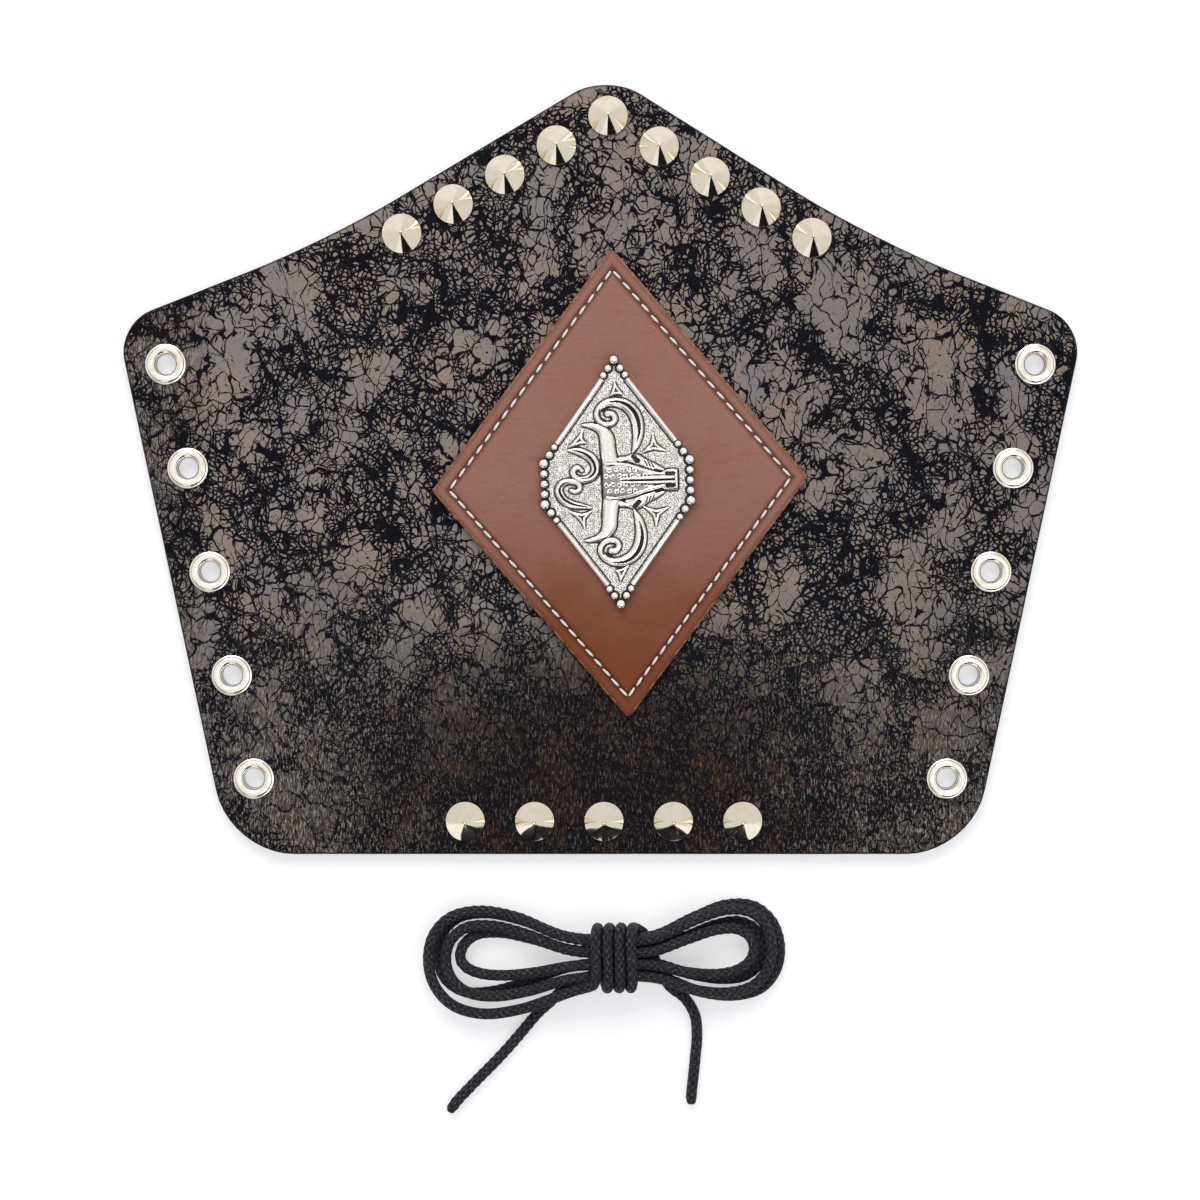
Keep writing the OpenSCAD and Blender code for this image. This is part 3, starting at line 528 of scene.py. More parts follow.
ribbed = (1 - (place.axis(0) + 106).rise(0, 12)).most(low * 0.9)
ribs = streak.rise(0.44, 0.56) * ribbed
glint = (1 - streak.rise(0.36, 0.44)) * low
tone = warm.rise(0.35, 0.65).mix((0.243, 0.218, 0.213, 1), (0.306, 0.241, 0.205, 1))
# Towards the bottom the tone is painted darker, as shade where the light falls off; it is also a
# little darker towards the right.
tone = (low * 0.58 + place.axis(0).rise(-30, 110) * 0.18).mix(tone, (0.095, 0.077, 0.068, 1))
tone = (fine.rise(0.3, 0.75) * 0.36).mix(tone, (0.085, 0.071, 0.063, 1))
tone = (crowd * 0.15).mix(tone, (0.10, 0.085, 0.078, 1))
# Painted shade, darkest and browner at the bottom middle of the sheet, which also dims the pale
# marks there.
tone = (dusk_shade * 0.9).mix(tone, (0.021, 0.012, 0.008, 1))
tone = (dusk_shade * warm.rise(0.48, 0.62) * 0.6).mix(tone, (0.055, 0.021, 0.012, 1))
colour = dark.mix(tone, (0.0050, 0.0047, 0.0080, 1))
colour = (ribs * 0.8).mix(colour, (0.009, 0.0075, 0.0075, 1))
colour = (glint * (1 - dusk_shade * 0.75) * 0.8).mix(colour, (0.33, 0.305, 0.285, 1))
rim_tone = gaps.rise(0.35, 0.7).mix((0.012, 0.011, 0.018, 1), (0.024, 0.022, 0.033, 1))
colour = place.node("Attribute", {"attribute_name": "burnish"}, {}, 2).mix(colour, rim_tone)
hide_paint = coat(height=(1 - dark) * 0.8 + fine * 0.25 - ribs * 0.3, depth=0.0002,
                  Base_Color=colour, Roughness=0.42 + (1 - dark) * 0.12 + fine * 0.1,
                  Specular_IOR_Level=0.03)
finished(bm, "hide_sheet", hide_paint, "bracer", ["outer_leather"], 50)


# The patch is a diamond of smooth vegetable-tanned leather with a cut edge. A groove is
# pressed along its four sides for the stitches, and its middle swells softly.
patch_tilt = math.radians(2.1)
patch_wall, patch_thick = 0.00165, 0.002
groove_in = 3.4
patch_top = sheet_top + patch_thick
patch_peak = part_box("diamond_patch")[1].z
bm = bmesh.new()
tips = [(0, patch_half[1]), (-patch_half[0], 0), (0, -patch_half[1]), (patch_half[0], 0)]
face = rounded_face(bm, [(tip, 1.2, 4) for tip in tips], sheet_top)
top = raised(bm, face, patch_wall)
steps = [(0.1, 0.2), (0.25, 0.15), (0.9, 0.03), (1.2, -0.02), (0.25, -0.08), (0.16, -0.2),
         (0.18, -0.17), (0.32, 0), (0.32, 0), (0.18, 0.17), (0.16, 0.2), (0.3, 0.1),
         (1.2, 0.1), (1.5, 0.11), (1.8, 0.1), (2, 0.08), (2, 0.05), (1.5, 0.02)]
drawn = 0
for inward, upward_by in steps:
    made = bmesh.ops.extrude_face_region(bm, geom=[top])["geom"]
    bmesh.ops.delete(bm, geom=[top], context="FACES_ONLY")
    top = [f for f in made if isinstance(f, bmesh.types.BMFace)][0]
    share = (patch_reach - drawn - inward) / (patch_reach - drawn)
    drawn += inward
    bmesh.ops.scale(bm, verts=top.verts[:], vec=(share, share, 1))
    bmesh.ops.translate(bm, verts=top.verts[:], vec=(0, 0, upward_by / 1000))
rise_over = patch_peak - max(v.co.z for v in bm.verts)
bmesh.ops.transform(bm, verts=bm.verts, matrix=Matrix.Translation(
    (patch_spot[0] / 1000, patch_spot[1] / 1000, 0)) @ Matrix.Rotation(patch_tilt, 4, "Z"))
for v in bm.verts:
    if v.co.z > patch_top:
        v.co.z += rise_over * (v.co.z - patch_top) / (patch_peak - rise_over - patch_top)
bmesh.ops.triangulate(bm, faces=[f for f in bm.faces if len(f.verts) > 4])

place, coat = new_paint("brown_bridle_leather")
own = place.mapped(shift=(-patch_spot[0], -patch_spot[1], 0)).mapped(turn=(0, 0, -patch_tilt))
span = math.hypot(*patch_half)
from_edge = (patch_reach - own.axis(0).size() * (patch_half[1] / span)
             - own.axis(1).size() * (patch_half[0] / span))
grain = place.noise(2.2, 4, 0.6)
pores = place.moved(place.noise(0.9, 2, 0.5, "Color"), 1).cells(0.9)
brushed = place.mapped(turn=(0, 0, 0.6), scale=(0.35, 1.6, 1)).noise(0.5, 3, 0.6)
cloud = place.noise(0.06, 4, 0.55)
# The patch is painted paler and greyer at the top, as sheen, and darker towards the bottom, as
# shade.
sheen_to_shade = 1 - (own.axis(1) + cloud * 30).rise(-31, 16)
raw = (1 - from_edge.rise(0.25, 0.6)) * place.noise(0.5, 3, 0.6).rise(0.42, 0.6)
seam = 1 - (from_edge - groove_in).size().rise(0.45, 1.5)
colour = sheen_to_shade.mix((0.300, 0.146, 0.114, 1), (0.168, 0.045, 0.016, 1))
colour = (cloud.rise(0.35, 0.7) * 0.2).mix(colour, (0.20, 0.066, 0.034, 1))
dull = grain.rise(0.35, 0.7) * 0.16 + brushed.rise(0.5, 0.72) * 0.14
colour = dull.mix(colour, (0.13, 0.036, 0.014, 1))
colour = (seam * 0.6).mix(colour, (0.075, 0.020, 0.009, 1))
colour = ((1 - from_edge.rise(0.3, 1.5)) * 0.5).mix(colour, (0.1, 0.030, 0.014, 1))
colour = (raw * 0.6).mix(colour, (0.42, 0.22, 0.12, 1))
patch_paint = coat(height=pores.rise(0, 0.27) * 0.5 + grain * 0.6, depth=0.00006,
                   Base_Color=colour, Roughness=0.36 + grain * 0.18, Specular_IOR_Level=0.1)
finished(bm, "brown_patch", patch_paint, "bracer", ["diamond_patch"], 60)


# The patch is sewn down with white waxed thread, one slanted stitch after another in the
# groove, and the same again on the flesh side. Each stitch dives into an awl hole.
stitch_line = [Vector(tip) * (1 - groove_in / patch_reach) for tip in tips]
stitch_half = 1.38
stitch_dive = 0.34
stitch_lean = math.radians(4)
thread_r = 0.32
awl_r = 0.36
groove_floor = patch_top - 0.00045
bm = bmesh.new()
holes = bmesh.new()
for flip in (1, -1):
    for k in range(4):
        p, q = stitch_line[k], stitch_line[(k + 1) % 4]
        count = 19 if k in (0, 3) else 21
        way = (q - p).normalized()
        heading = math.atan2(way.y, way.x) + stitch_lean
        for i in range(count):
            middle = p + (q - p) * (i + 0.5) / count
            made = bmesh.ops.create_grid(bm, x_segments=8, y_segments=8, size=1)["verts"]
            for v in made:
                s, turn = v.co.x, (v.co.y + 1) * math.pi
                end = math.sqrt(max(0.02, 1 - abs(s) ** 5))
                radius = thread_r * end * (1 + 0.13 * math.cos(2 * turn + 5.5 * s))
                v.co = Vector((stitch_half * s, radius * math.cos(turn),
                               radius * math.sin(turn) - stitch_dive * abs(s) ** 3))
            seat = groove_floor if flip > 0 else sheet_foot
            seat += flip * thread_r / 1000
            move = (Matrix.Translation((patch_spot[0] / 1000, patch_spot[1] / 1000, seat))
                    @ Matrix.Rotation(patch_tilt, 4, "Z")
                    @ Matrix.Translation((middle.x / 1000, middle.y / 1000, 0))
                    @ Matrix.Rotation(heading, 4, "Z") @ Matrix.Scale(0.001, 4)
                    @ Matrix.Diagonal((1, 1, flip, 1)))
            bmesh.ops.transform(bm, verts=made, matrix=move)
            if flip > 0:
                made = bmesh.ops.create_circle(holes, cap_ends=True, radius=awl_r,
                                               segments=10)["verts"]
                drop = (move @ Matrix.Translation((stitch_half + 0.04, 0.06, -0.285))
                        @ Matrix.Diagonal((1, 0.8, 1, 1)))
                bmesh.ops.transform(holes, verts=made, matrix=drop)
bmesh.ops.remove_doubles(bm, verts=bm.verts, dist=2e-6)
bmesh.ops.holes_fill(bm, edges=[e for e in bm.edges if e.is_boundary], sides=0)
bmesh.ops.recalc_face_normals(bm, faces=bm.faces)
place, coat = new_paint("white_waxed_thread")
twist = place.noise(5, 2)
tone = twist.rise(0.3, 0.7).mix((0.62, 0.6, 0.57, 1), (0.86, 0.85, 0.83, 1))
thread_paint = coat(height=twist, depth=0.00008, Base_Color=tone,
                    Roughness=0.45 + twist * 0.2)
finished(bm, "stitches", thread_paint, "bracer", ["patch_thread"], 180)
# Each awl hole is drawn as a thin dark disc on the groove floor: painted shade where the hole goes
# down into the leather.
bmesh.ops.solidify(holes, geom=holes.faces[:], thickness=-0.00004)
place, coat = new_paint("awl_hole_shades")
tone = place.noise(3).rise(0.3, 0.7).mix((0.01, 0.005, 0.003, 1), (0.03, 0.012, 0.007, 1))
hole_shade_paint = coat(Base_Color=tone, Roughness=0.8)
finished(holes, "awl_hole_shades", hole_shade_paint, "bracer", (), 60)


# The concho is one casting in silvered zinc, blackened in its recesses and rubbed bright:
# a longhorn skull between two great scrolls, in a frame of bars and beads. It is screwed
# on from behind through its boss. Its face is a fine lattice, raised and cut along routes.
concho_tilt = patch_tilt - math.radians(0.4)
lattice = 0.14
field_half = (18.9, 31.1)
columns = round(2 * field_half[0] / lattice)
rows = round(2 * field_half[1] / lattice)
field_x, field_y = np.meshgrid(np.linspace(-field_half[0], field_half[0], columns + 1),
                               np.linspace(-field_half[1], field_half[1], rows + 1),
                               indexing="ij")
brow = 2.2
skull_ends = (-3.5, 15.1)
skull = [(-3.8, 0.3, 4.4, 0.6 * brow), (-2.7, 0.3, 4.6, 0.75 * brow),
         (0.2, 0.3, 4.7, 0.85 * brow), (3, 0.2, 4.3, 0.9 * brow), (5.6, 0.2, 3.4, 0.8 * brow),
         (8.4, 0.1, 2.6, 0.68 * brow), (11.4, 0.1, 2, 0.6 * brow),
         (12.8, 0.2, 2.6, 0.55 * brow), (14.4, 0.2, 2.7, 0.5 * brow)]
horn = [(-1.2, 3.6, 2.3, 1.5), (-1.8, 6, 1.95, 1.55), (-2.1, 8.6, 1.85, 1.5),
        (-2.3, 11, 1.75, 1.35), (-3.3, 12.8, 1.35, 1.15), (-5.2, 13.9, 0.85, 0.9),
        (-7.2, 14.3, 0.5, 0.65), (-8.6, 14.4, 0.15, 0.4)]
horn_root = [(0.2, 5.2, 0.9, 0.9), (1.6, 5.6, 0.7, 0.8), (2.6, 5.8, 0.5, 0.7)]
cheek = [(2.4, 5.7, 0.6, 0.6), (4.6, 5.5, 1.35, 1.1), (6.8, 4.6, 1.05, 0.9),
         (9, 3.8, 0.75, 0.75), (11.4, 2.8, 0.4, 0.5)]
cheek_fill = [(2.6, 4.9, 0.9, 0.55), (5.6, 4.2, 0.95, 0.65), (9, 3.2, 0.7, 0.5)]
scroll = [(4, 7.1, 0.2, 0.3), (4.9, 9, 0.85, 0.75), (5.5, 11.8, 1.3, 1), (5.5, 14.2, 1.45, 1.1),
          (4.8, 16.6, 1.5, 1.1), (3.2, 18.6, 1.4, 1.1), (1, 19.7, 1.25, 1.05),
          (-1.5, 19.8, 1, 1), (-3.7, 18.7, 0.8, 0.95), (-4.6, 17, 0.7, 0.9),
          (-4.1, 15.3, 0.7, 0.9), (-2.6, 14.4, 0.7, 0.9), (-0.9, 14.6, 0.7, 0.9),
          (-0.1, 15.7, 0.7, 0.95), (-0.7, 16.9, 0.75, 1), (-2, 17.1, 0.8, 1.05)]
scroll_cut = [(5.1, 9.6, 0.06, 0.2), (5.75, 12, 0.28, 0.7), (5.75, 14.4, 0.42, 0.95),
              (5, 16.8, 0.46, 1), (3.5, 18.7, 0.42, 0.95), (1.5, 19.8, 0.32, 0.8),
              (-0.5, 20, 0.2, 0.5), (-1.8, 19.9, 0.08, 0.2)]
curl_cut = [(-3.9, 18.2, 0.12, 0.3), (-4, 17.2, 0.2, 0.45), (-3.6, 16, 0.2, 0.45),
            (-2.3, 15.2, 0.18, 0.4)]
near_scroll = [(-12, 8.2, 0.25, 0.3), (-9.5, 7.9, 0.9, 0.75), (-7.2, 6.8, 1.1, 0.9),
               (-5.5, 4.9, 1.15, 0.95), (-5.3, 2.8, 1.1, 0.9), (-6.7, 1.2, 0.95, 0.85),
               (-8.9, 0.8, 0.8, 0.8), (-10.6, 1.7, 0.75, 0.8), (-10.9, 3.1, 0.7, 0.75),
               (-9.7, 3.9, 0.6, 0.75), (-8.7, 3.1, 0.5, 0.7)]
near_cut = [(-11, 8.2, 0.1, 0.3), (-9.2, 7.8, 0.22, 0.6), (-7.2, 6.8, 0.28, 0.75),
            (-5.7, 4.9, 0.3, 0.8), (-5.5, 2.8, 0.28, 0.75), (-6.8, 1.4, 0.22, 0.6),
            (-8.9, 1, 0.1, 0.3)]
far_scroll = [(-6.5, -6.2, 0.25, 0.3), (-9, -5.8, 0.7, 0.65), (-11.6, -5.2, 0.95, 0.8),
              (-13.7, -3.9, 1.05, 0.9), (-14.6, -1.7, 1, 0.9), (-13.7, 0, 0.85, 0.85),
              (-11.8, 0.5, 0.75, 0.8), (-9.9, 0.1, 0.7, 0.75), (-9.3, -1.2, 0.65, 0.75),
              (-10.3, -2.1, 0.6, 0.75), (-11.5, -1.8, 0.55, 0.75)]
far_cut = [(-7.5, -6, 0.1, 0.3), (-9.6, -5.6, 0.2, 0.55), (-11.6, -5, 0.26, 0.7),
           (-13.5, -3.7, 0.28, 0.75), (-14.4, -1.7, 0.26, 0.7), (-13.6, -0.2, 0.2, 0.55),
           (-12, 0.4, 0.08, 0.3)]
leaves = [((0, 24.9), (-1.1, 21.5), (2.1, 21.7)), ((9.2, 11.7), (6.2, 7), (12.5, 7.3)),
          ((9.4, -11.6), (6.2, -6.2), (12.7, -6.6)), ((0.1, -24.9), (-1.2, -21.9), (2.3, -20.8)),
          ((-8.3, 12.9), (-12, 8.9), (-7.2, 9.8)), ((-8.3, -11.6), (-12.2, -6.9), (-6.6, -7.1))]
face_curls = [(x + 0.8 * (row % 2), 1.35 + 1.6 * row, 150 * row + 170 * step)
              for row in range(2) for step, x in enumerate(np.arange(-2.7, 8, 1.6))]
face_curls = [(x, y, start) for x, y, start in face_curls
              if y + 0.75 < np.interp(x, [-3.8, 0.2, 3, 5.6, 8.4], [4.5, 4.7, 4.3, 3.4, 2.6])]


def stamped(layer, route, power=2):
    """Raises a layer along a route of (x, y, half width, height), round across."""
    for x, y, wide, high in eased_run(route, 0.08):
        near = (np.abs(field_x[:, 0] - x) <= wide).nonzero()[0]
        beside = (np.abs(field_y[0] - y) <= wide).nonzero()[0]
        if len(near) and len(beside):
            cut = np.s_[near[0]:near[-1] + 1, beside[0]:beside[-1] + 1]
            off = np.hypot(field_x[cut] - x, field_y[cut] - y) / wide
            layer[cut] = np.maximum(layer[cut], high * np.sqrt(np.clip(1 - off ** power, 0, 1)))


def mirrored(route):
    """The same route on the other side of the skull."""
    return [(x, -y, *rest) for x, y, *rest in route]


relief = np.zeros_like(field_x)
cuts = np.zeros_like(field_x)
lines = np.zeros_like(field_x)
stain = np.zeros_like(field_x)
stamped(relief, skull, 5)
relief[(field_x < skull_ends[0]) | (field_x > skull_ends[1])] = 0
face = (relief > 0.5) & (field_x < 7)
for route in (horn, horn_root, cheek, cheek_fill, scroll):
    stamped(relief, route)
    stamped(relief, mirrored(route))
stamped(relief, near_scroll)
stamped(relief, far_scroll)
for route in (scroll_cut, curl_cut):
    stamped(cuts, route)
    stamped(cuts, mirrored(route))
stamped(cuts, near_cut)
stamped(cuts, far_cut)
for tips_of in leaves:
    middle = [sum(t[k] for t in tips_of) / 3 for k in (0, 1)]
    for tip in tips_of:
        half_way = [(middle[k] + tip[k]) / 2 for k in (0, 1)]
        stamped(relief, [(*middle, 0.95, 0.6), (*half_way, 0.5, 0.5), (*tip, 0.12, 0.25)])
        inner = [middle[k] + 0.3 * (tip[k] - middle[k]) for k in (0, 1)]
        stamped(cuts, [(*middle, 0.3, 0.45), (*inner, 0.12, 0.3)])
axis = 0.3
for side in (1, -1):
    stamped(lines, [(x, axis + side * (w - 0.42), 0.34, 0.3) for x, _, w, _ in skull[1:7]])
    stamped(lines, [(0.8, axis + side * 0.35, 0.2, 0.2), (4, axis + side * 0.5, 0.34, 0.4),
                    (9, axis + side * 0.6, 0.4, 0.5), (14.2, axis + side * 0.62, 0.36, 0.5)])
    stamped(cuts, [(1.2, axis, 0.1, 0.2), (5, axis, 0.2, 0.35), (14.2, axis, 0.2, 0.35)])
    stamped(cuts, [(4.2, side * 6.2, 0.62, 0.9), (5.2, side * 5.1, 0.62, 0.9)])
    stamped(cuts, [(12.5, axis + side * 1.5, 0.6, 0.75), (14, axis + side * 1.5, 0.5, 0.75)])
    for x in (7, 7.8, 8.6):
        stamped(cuts, [(x, side * (5.2 - (x - 7) * 0.3), 0.16, 0.4),
                       (x + 0.5, side * (3.9 - (x - 7) * 0.25), 0.16, 0.4)])
    for x, y, start in face_curls:
        curl = [(0.64 - 0.03 * i, math.radians(start + 27 * i)) for i in range(15)]
        stamped(lines, [(x + r * math.cos(a), axis + side * (y - axis + r * math.sin(a)),
                         0.15, 0.24) for r, a in curl])
surface = relief + lines - cuts
stain[face & (lines < 0.04)] = 0.42
beads = [(0, 30.4, 0.96), (1.5, 28.3, 0.79), (2.7, 26.6, 0.73), (15.4, 9.1, 0.7),
         (16.7, 7.2, 0.83), (18.2, 5.1, 1), (18.2, 2.55, 0.85), (18.2, 0, 0.83)]
bead_d = 2.6
bar_r = 0.62
bar_from, bar_to = (3.1, 25.6), (14.8, 9.9)
for sx in (1, -1):
    for sy in (1, -1):
        stamped(stain, [(sx * (x - 0.74), sy * (y - 0.55), 0.24, 1)
                        for x, y in (bar_from, bar_to)])
        for x, y, share in beads:
            off = np.hypot(field_x - sx * x, field_y - sy * y) - share * bead_d / 2
            stain = np.maximum(stain, np.clip(1.2 - off / 0.45, 0, 1))


def softened(layer, reach):
    """Mean of a layer over a square of reach cells each way."""
    for axis in (0, 1):
        padded = np.concatenate([np.repeat(layer.take([0], axis), reach + 1, axis), layer,
                                 np.repeat(layer.take([-1], axis), reach, axis)], axis)
        total = np.cumsum(padded, axis)
        size = layer.shape[axis]
        layer = (total.take(range(2 * reach + 1, 2 * reach + 1 + size), axis)
                 - total.take(range(0, size), axis)) / (2 * reach + 1)
    return layer


tarnish = np.clip((softened(softened(surface, 2), 2) - surface) / 0.13, 0, 1)
tarnish = np.maximum(tarnish, stain)
surface = 0.6 * surface + 0.4 * softened(surface, 1)
plate_t = 1.3
bm = bmesh.new()
tarnish_and_shade_layer = bm.verts.layers.float.new("tarnish")
bmesh.ops.create_grid(bm, x_segments=columns, y_segments=rows, size=1)
for v in bm.verts:
    i, j = round((v.co.x + 1) / 2 * columns), round((v.co.y + 1) / 2 * rows)
    v[tarnish_and_shade_layer] = tarnish[i, j]
    v.co = (field_x[i, j], field_y[i, j], plate_t + surface[i, j])
plate_side = [(0, 30.2), (3.6, 26), (15.3, 10.2), (17.9, 5.3), (17.9, -5.3), (15.3, -10.2),
              (3.6, -26), (0, -30.2)]
plate_ring = plate_side + [(-x, y) for x, y in plate_side[-2:0:-1]]
for (x0, y0), (x1, y1) in zip(plate_ring, plate_ring[1:] + plate_ring[:1]):
    corner = Vector((x0, y0, 0))
    outward = Vector((y0 - y1, x1 - x0, 0)).normalized()
    gone = [v for v in bm.verts if outward.dot(v.co - corner) > 0.3]
    bmesh.ops.delete(bm, geom=gone, context="VERTS")
    near = [f for f in bm.faces if outward.dot(f.calc_center_median() - corner) > -0.3]
    parts = {part for f in near for part in (*f.verts, *f.edges)}
    bmesh.ops.bisect_plane(bm, geom=near + list(parts), plane_co=corner, plane_no=outward,
                           dist=1e-5, clear_outer=True)
rim = [e for e in bm.edges if e.is_boundary]
down = bmesh.ops.extrude_edge_only(bm, edges=rim)["geom"]
for v in down:
    if isinstance(v, bmesh.types.BMVert):
        v.co.z = 0
bmesh.ops.holes_fill(bm, edges=[e for e in bm.edges if e.is_boundary], sides=0)
trim = bmesh.new()
tarnish_and_shade_layer = trim.verts.layers.float.new("tarnish")
for x, y, share in beads:
    for px, py in {(x, y), (-x, y), (x, -y), (-x, -y)}:
        radius = share * bead_d / 2
        made = bmesh.ops.create_uvsphere(trim, u_segments=24, v_segments=14,
                                         radius=radius)["verts"]
        for v in made:
            # Each bead is blackened from its foot up its lower flank: patina at the foot, and
            # painted shade for the dark reflection that rings a polished ball.
            v[tarnish_and_shade_layer] = 1 - smooth_step((v.co.z / radius - 0.25) / 0.5)
        bmesh.ops.translate(trim, verts=made, vec=(px, py, 1.35))
for sx in (1, -1):
    for sy in (1, -1):
        p, q = (Vector((sx * x, sy * y, plate_t)) for x, y in (bar_from, bar_to))
        made = bmesh.ops.create_cone(trim, cap_ends=True, segments=24, radius1=bar_r,
                                     radius2=bar_r, depth=(q - p).length)["verts"]
        turn = (q - p).to_track_quat("Z", "Y").to_matrix().to_4x4()
        bmesh.ops.transform(trim, verts=made, matrix=Matrix.Translation((p + q) / 2) @ turn)
bore, boss_r, boss_foot, boss_head = 1.77, 2.6, -3.2, 0.3
boss = [trim.verts.new(p) for p in ((bore, 0, boss_foot), (boss_r, 0, boss_foot),
                                    (boss_r, 0, boss_head), (bore, 0, boss_head))]
boss_edges = [trim.edges.new((boss[i], boss[(i + 1) % 4])) for i in range(4)]
bmesh.ops.spin(trim, geom=boss + boss_edges, cent=(0, 0, 0), axis=(0, 0, 1), angle=2 * math.pi,
               steps=48, use_merge=True)
trim_mesh = bpy.data.meshes.new("concho_trim")
trim.to_mesh(trim_mesh)
trim.free()
bm.from_mesh(trim_mesh)
bpy.data.meshes.remove(trim_mesh)
bmesh.ops.recalc_face_normals(bm, faces=bm.faces)
bmesh.ops.transform(bm, verts=bm.verts, matrix=Matrix.Translation(
    (concho_spot[0] / 1000, concho_spot[1] / 1000, patch_peak))
    @ Matrix.Rotation(concho_tilt, 4, "Z") @ Matrix.Scale(0.001, 4))
place, coat = new_paint("antique_silver")
recess = place.node("Attribute", {"attribute_name": "tarnish"}, {}, 2)
ground = 1 - (place.axis(2) - (patch_peak * 1000 + plate_t)).rise(0.03, 0.22)
grains = place.moved(place.noise(2, 2, 0.5, "Color"), 0.4).cells(0.5)
grain_pick = place.noise(2.6, 2)
dots = (1 - grains.rise(0.04, 0.12)) * ground * grain_pick.rise(0.35, 0.52)
rub = place.noise(1.1, 3)
patina_and_shade = recess.rise(0.1, 0.6).most(dots * 0.85)
silver = rub.rise(0.3, 0.7).mix((0.84, 0.81, 0.76, 1), (0.93, 0.91, 0.87, 1))
colour = patina_and_shade.mix(silver, (0.016, 0.014, 0.013, 1))
silver_paint = coat(height=(1 - dots) * 0.6 + rub * 0.2, depth=0.00008, Base_Color=colour,
                    Metallic=1 - patina_and_shade * 0.75, Roughness=0.14 + ground * 0.14 + patina_and_shade * 0.3)
finished(bm, "silver_concho", silver_paint, "bracer", ["concho"], 50)


# Flat-headed zinc-plated screws hold the studs and the concho from the flesh side.
place, coat = new_paint("zinc_plate")
lathe = place.noise(0.9, 4, 0.7)
haze = place.mapped(scale=(6, 0.5, 1)).noise(2.5, 2)
zinc = lathe.rise(0.3, 0.7).mix((0.48, 0.5, 0.52, 1), (0.62, 0.62, 0.6, 1))
zinc_paint = coat(height=haze, depth=0.00001, Metallic=1.0, Base_Color=zinc,
                  Roughness=0.28 + haze * 0.2)
for name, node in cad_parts.items():
    if "screw" in name:
        node.data.materials.clear()
        node.data.materials.append(zinc_paint)


# Fourteen polished nickel cones, spun from bar, stand in the two rows. Each has a small
# upright rim, a straight flank and a blunted point, and is threaded from below.
cone_h = (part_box("top_stud_5")[1].z - sheet_top) * 1000


def turned(name, profile, spot, paint, node, steps, sharp):
    """Spins a closed profile of (radius, height) in metres about a spot in millimetres."""
    bm = bmesh.new()
    ring = [bm.verts.new((r, 0, z)) for r, z in profile]
    edges = [bm.edges.new((ring[i], ring[(i + 1) % len(ring)])) for i in range(len(ring))
             if ring[i].co.x > 0 or ring[(i + 1) % len(ring)].co.x > 0]
    bmesh.ops.spin(bm, geom=ring + edges, cent=(0, 0, 0), axis=(0, 0, 1), angle=2 * math.pi,
                   steps=steps, use_merge=True)
    bmesh.ops.remove_doubles(bm, verts=bm.verts, dist=1e-8)
    bmesh.ops.recalc_face_normals(bm, faces=bm.faces)
    bmesh.ops.translate(bm, verts=bm.verts, vec=(spot[0] / 1000, spot[1] / 1000, 0))
    finished(bm, name, paint, "bracer", [node], sharp)


thread_bore, thread_depth = 1.52, 2.9
flank_foot, flank_head = Vector((4.88, 0.66)), Vector((0.42, cone_h - 0.36))
cone_profile = [(thread_bore, 0), (4.8, 0), (4.95, 0.06), (5, 0.2), (5, 0.46), (4.96, 0.57),
                flank_foot]
cone_profile += [flank_foot.lerp(flank_head, t) for t in (0.03, 0.5, 0.97, 1)]
cone_profile += [(0.3, cone_h - 0.17), (0.14, cone_h - 0.04), (0, cone_h), (0, thread_depth),
                 (thread_bore, thread_depth)]
cone_profile = [(r / 1000, sheet_top + z / 1000) for r, z in cone_profile]
place, coat = new_paint("polished_nickel")
film = place.noise(0.4, 3)
scuff = place.noise(3, 4, 0.7)
nickel = film.rise(0.35, 0.65).mix((0.77, 0.69, 0.54, 1), (0.81, 0.74, 0.61, 1))
nickel_paint = coat(height=scuff, depth=0.0000012, Metallic=1.0, Base_Color=nickel,
                    Roughness=0.05 + scuff * 0.05)
for row, spots in (("top", top_spots), ("bottom", bottom_spots)):
    for number, spot in enumerate(spots, 1):
        turned(f"cone_{row}_{number}", cone_profile, spot, nickel_paint,
               f"{row}_stud_{number}", 96, 30)


# Ten eyelets of pale brass plate line the sides. A domed flange sits on the face, and the
# barrel goes through the leather and is rolled over a flat washer behind it.
flange_r, bore_r, flange_h, lip, throat = 5.1, 2.5, 1.0, 0.35, 0.4
crest_r = (flange_r + bore_r) / 2 + 0.1
top_z = sheet_top * 1000
roll_z = sheet_foot * 1000 - 0.4
outer_run = flange_r - 0.4 - crest_r
inner_run = crest_r - bore_r
eyelet_profile = [(flange_r - 0.12, top_z), (flange_r - 0.02, top_z + 0.06),
                  (flange_r, top_z + 0.17), (flange_r - 0.04, top_z + 0.27),
                  (flange_r - 0.16, top_z + lip)]
eyelet_profile += [(crest_r + outer_run * math.cos(math.radians(a)),
                    top_z + lip + (flange_h - lip) * math.sin(math.radians(a)))
                   for a in range(4, 86, 9)]
eyelet_profile += [(crest_r + inner_run * math.cos(math.radians(a)),
                    top_z - throat + (flange_h + throat) * math.sin(math.radians(a)))
                   for a in range(90, 176, 8)]
eyelet_profile += [(bore_r, top_z - throat), (bore_r, roll_z + 0.1), (bore_r + 0.13, roll_z - 0.2),
                   (bore_r + 0.4, roll_z - 0.42), (bore_r + 0.8, roll_z - 0.45),
                   (3.9, roll_z - 0.44), (4.06, roll_z - 0.36), (4.1, roll_z - 0.22),
                   (4.0, roll_z), (3.0, roll_z), (3.0, top_z)]
eyelet_profile = [(r / 1000, z / 1000) for r, z in eyelet_profile]
washer_profile = [(3.07, roll_z), (4.8, roll_z), (4.93, roll_z + 0.06), (5, roll_z + 0.2),
                  (5, roll_z + 0.4), (3.07, roll_z + 0.4)]
washer_profile = [(r / 1000, z / 1000) for r, z in washer_profile]
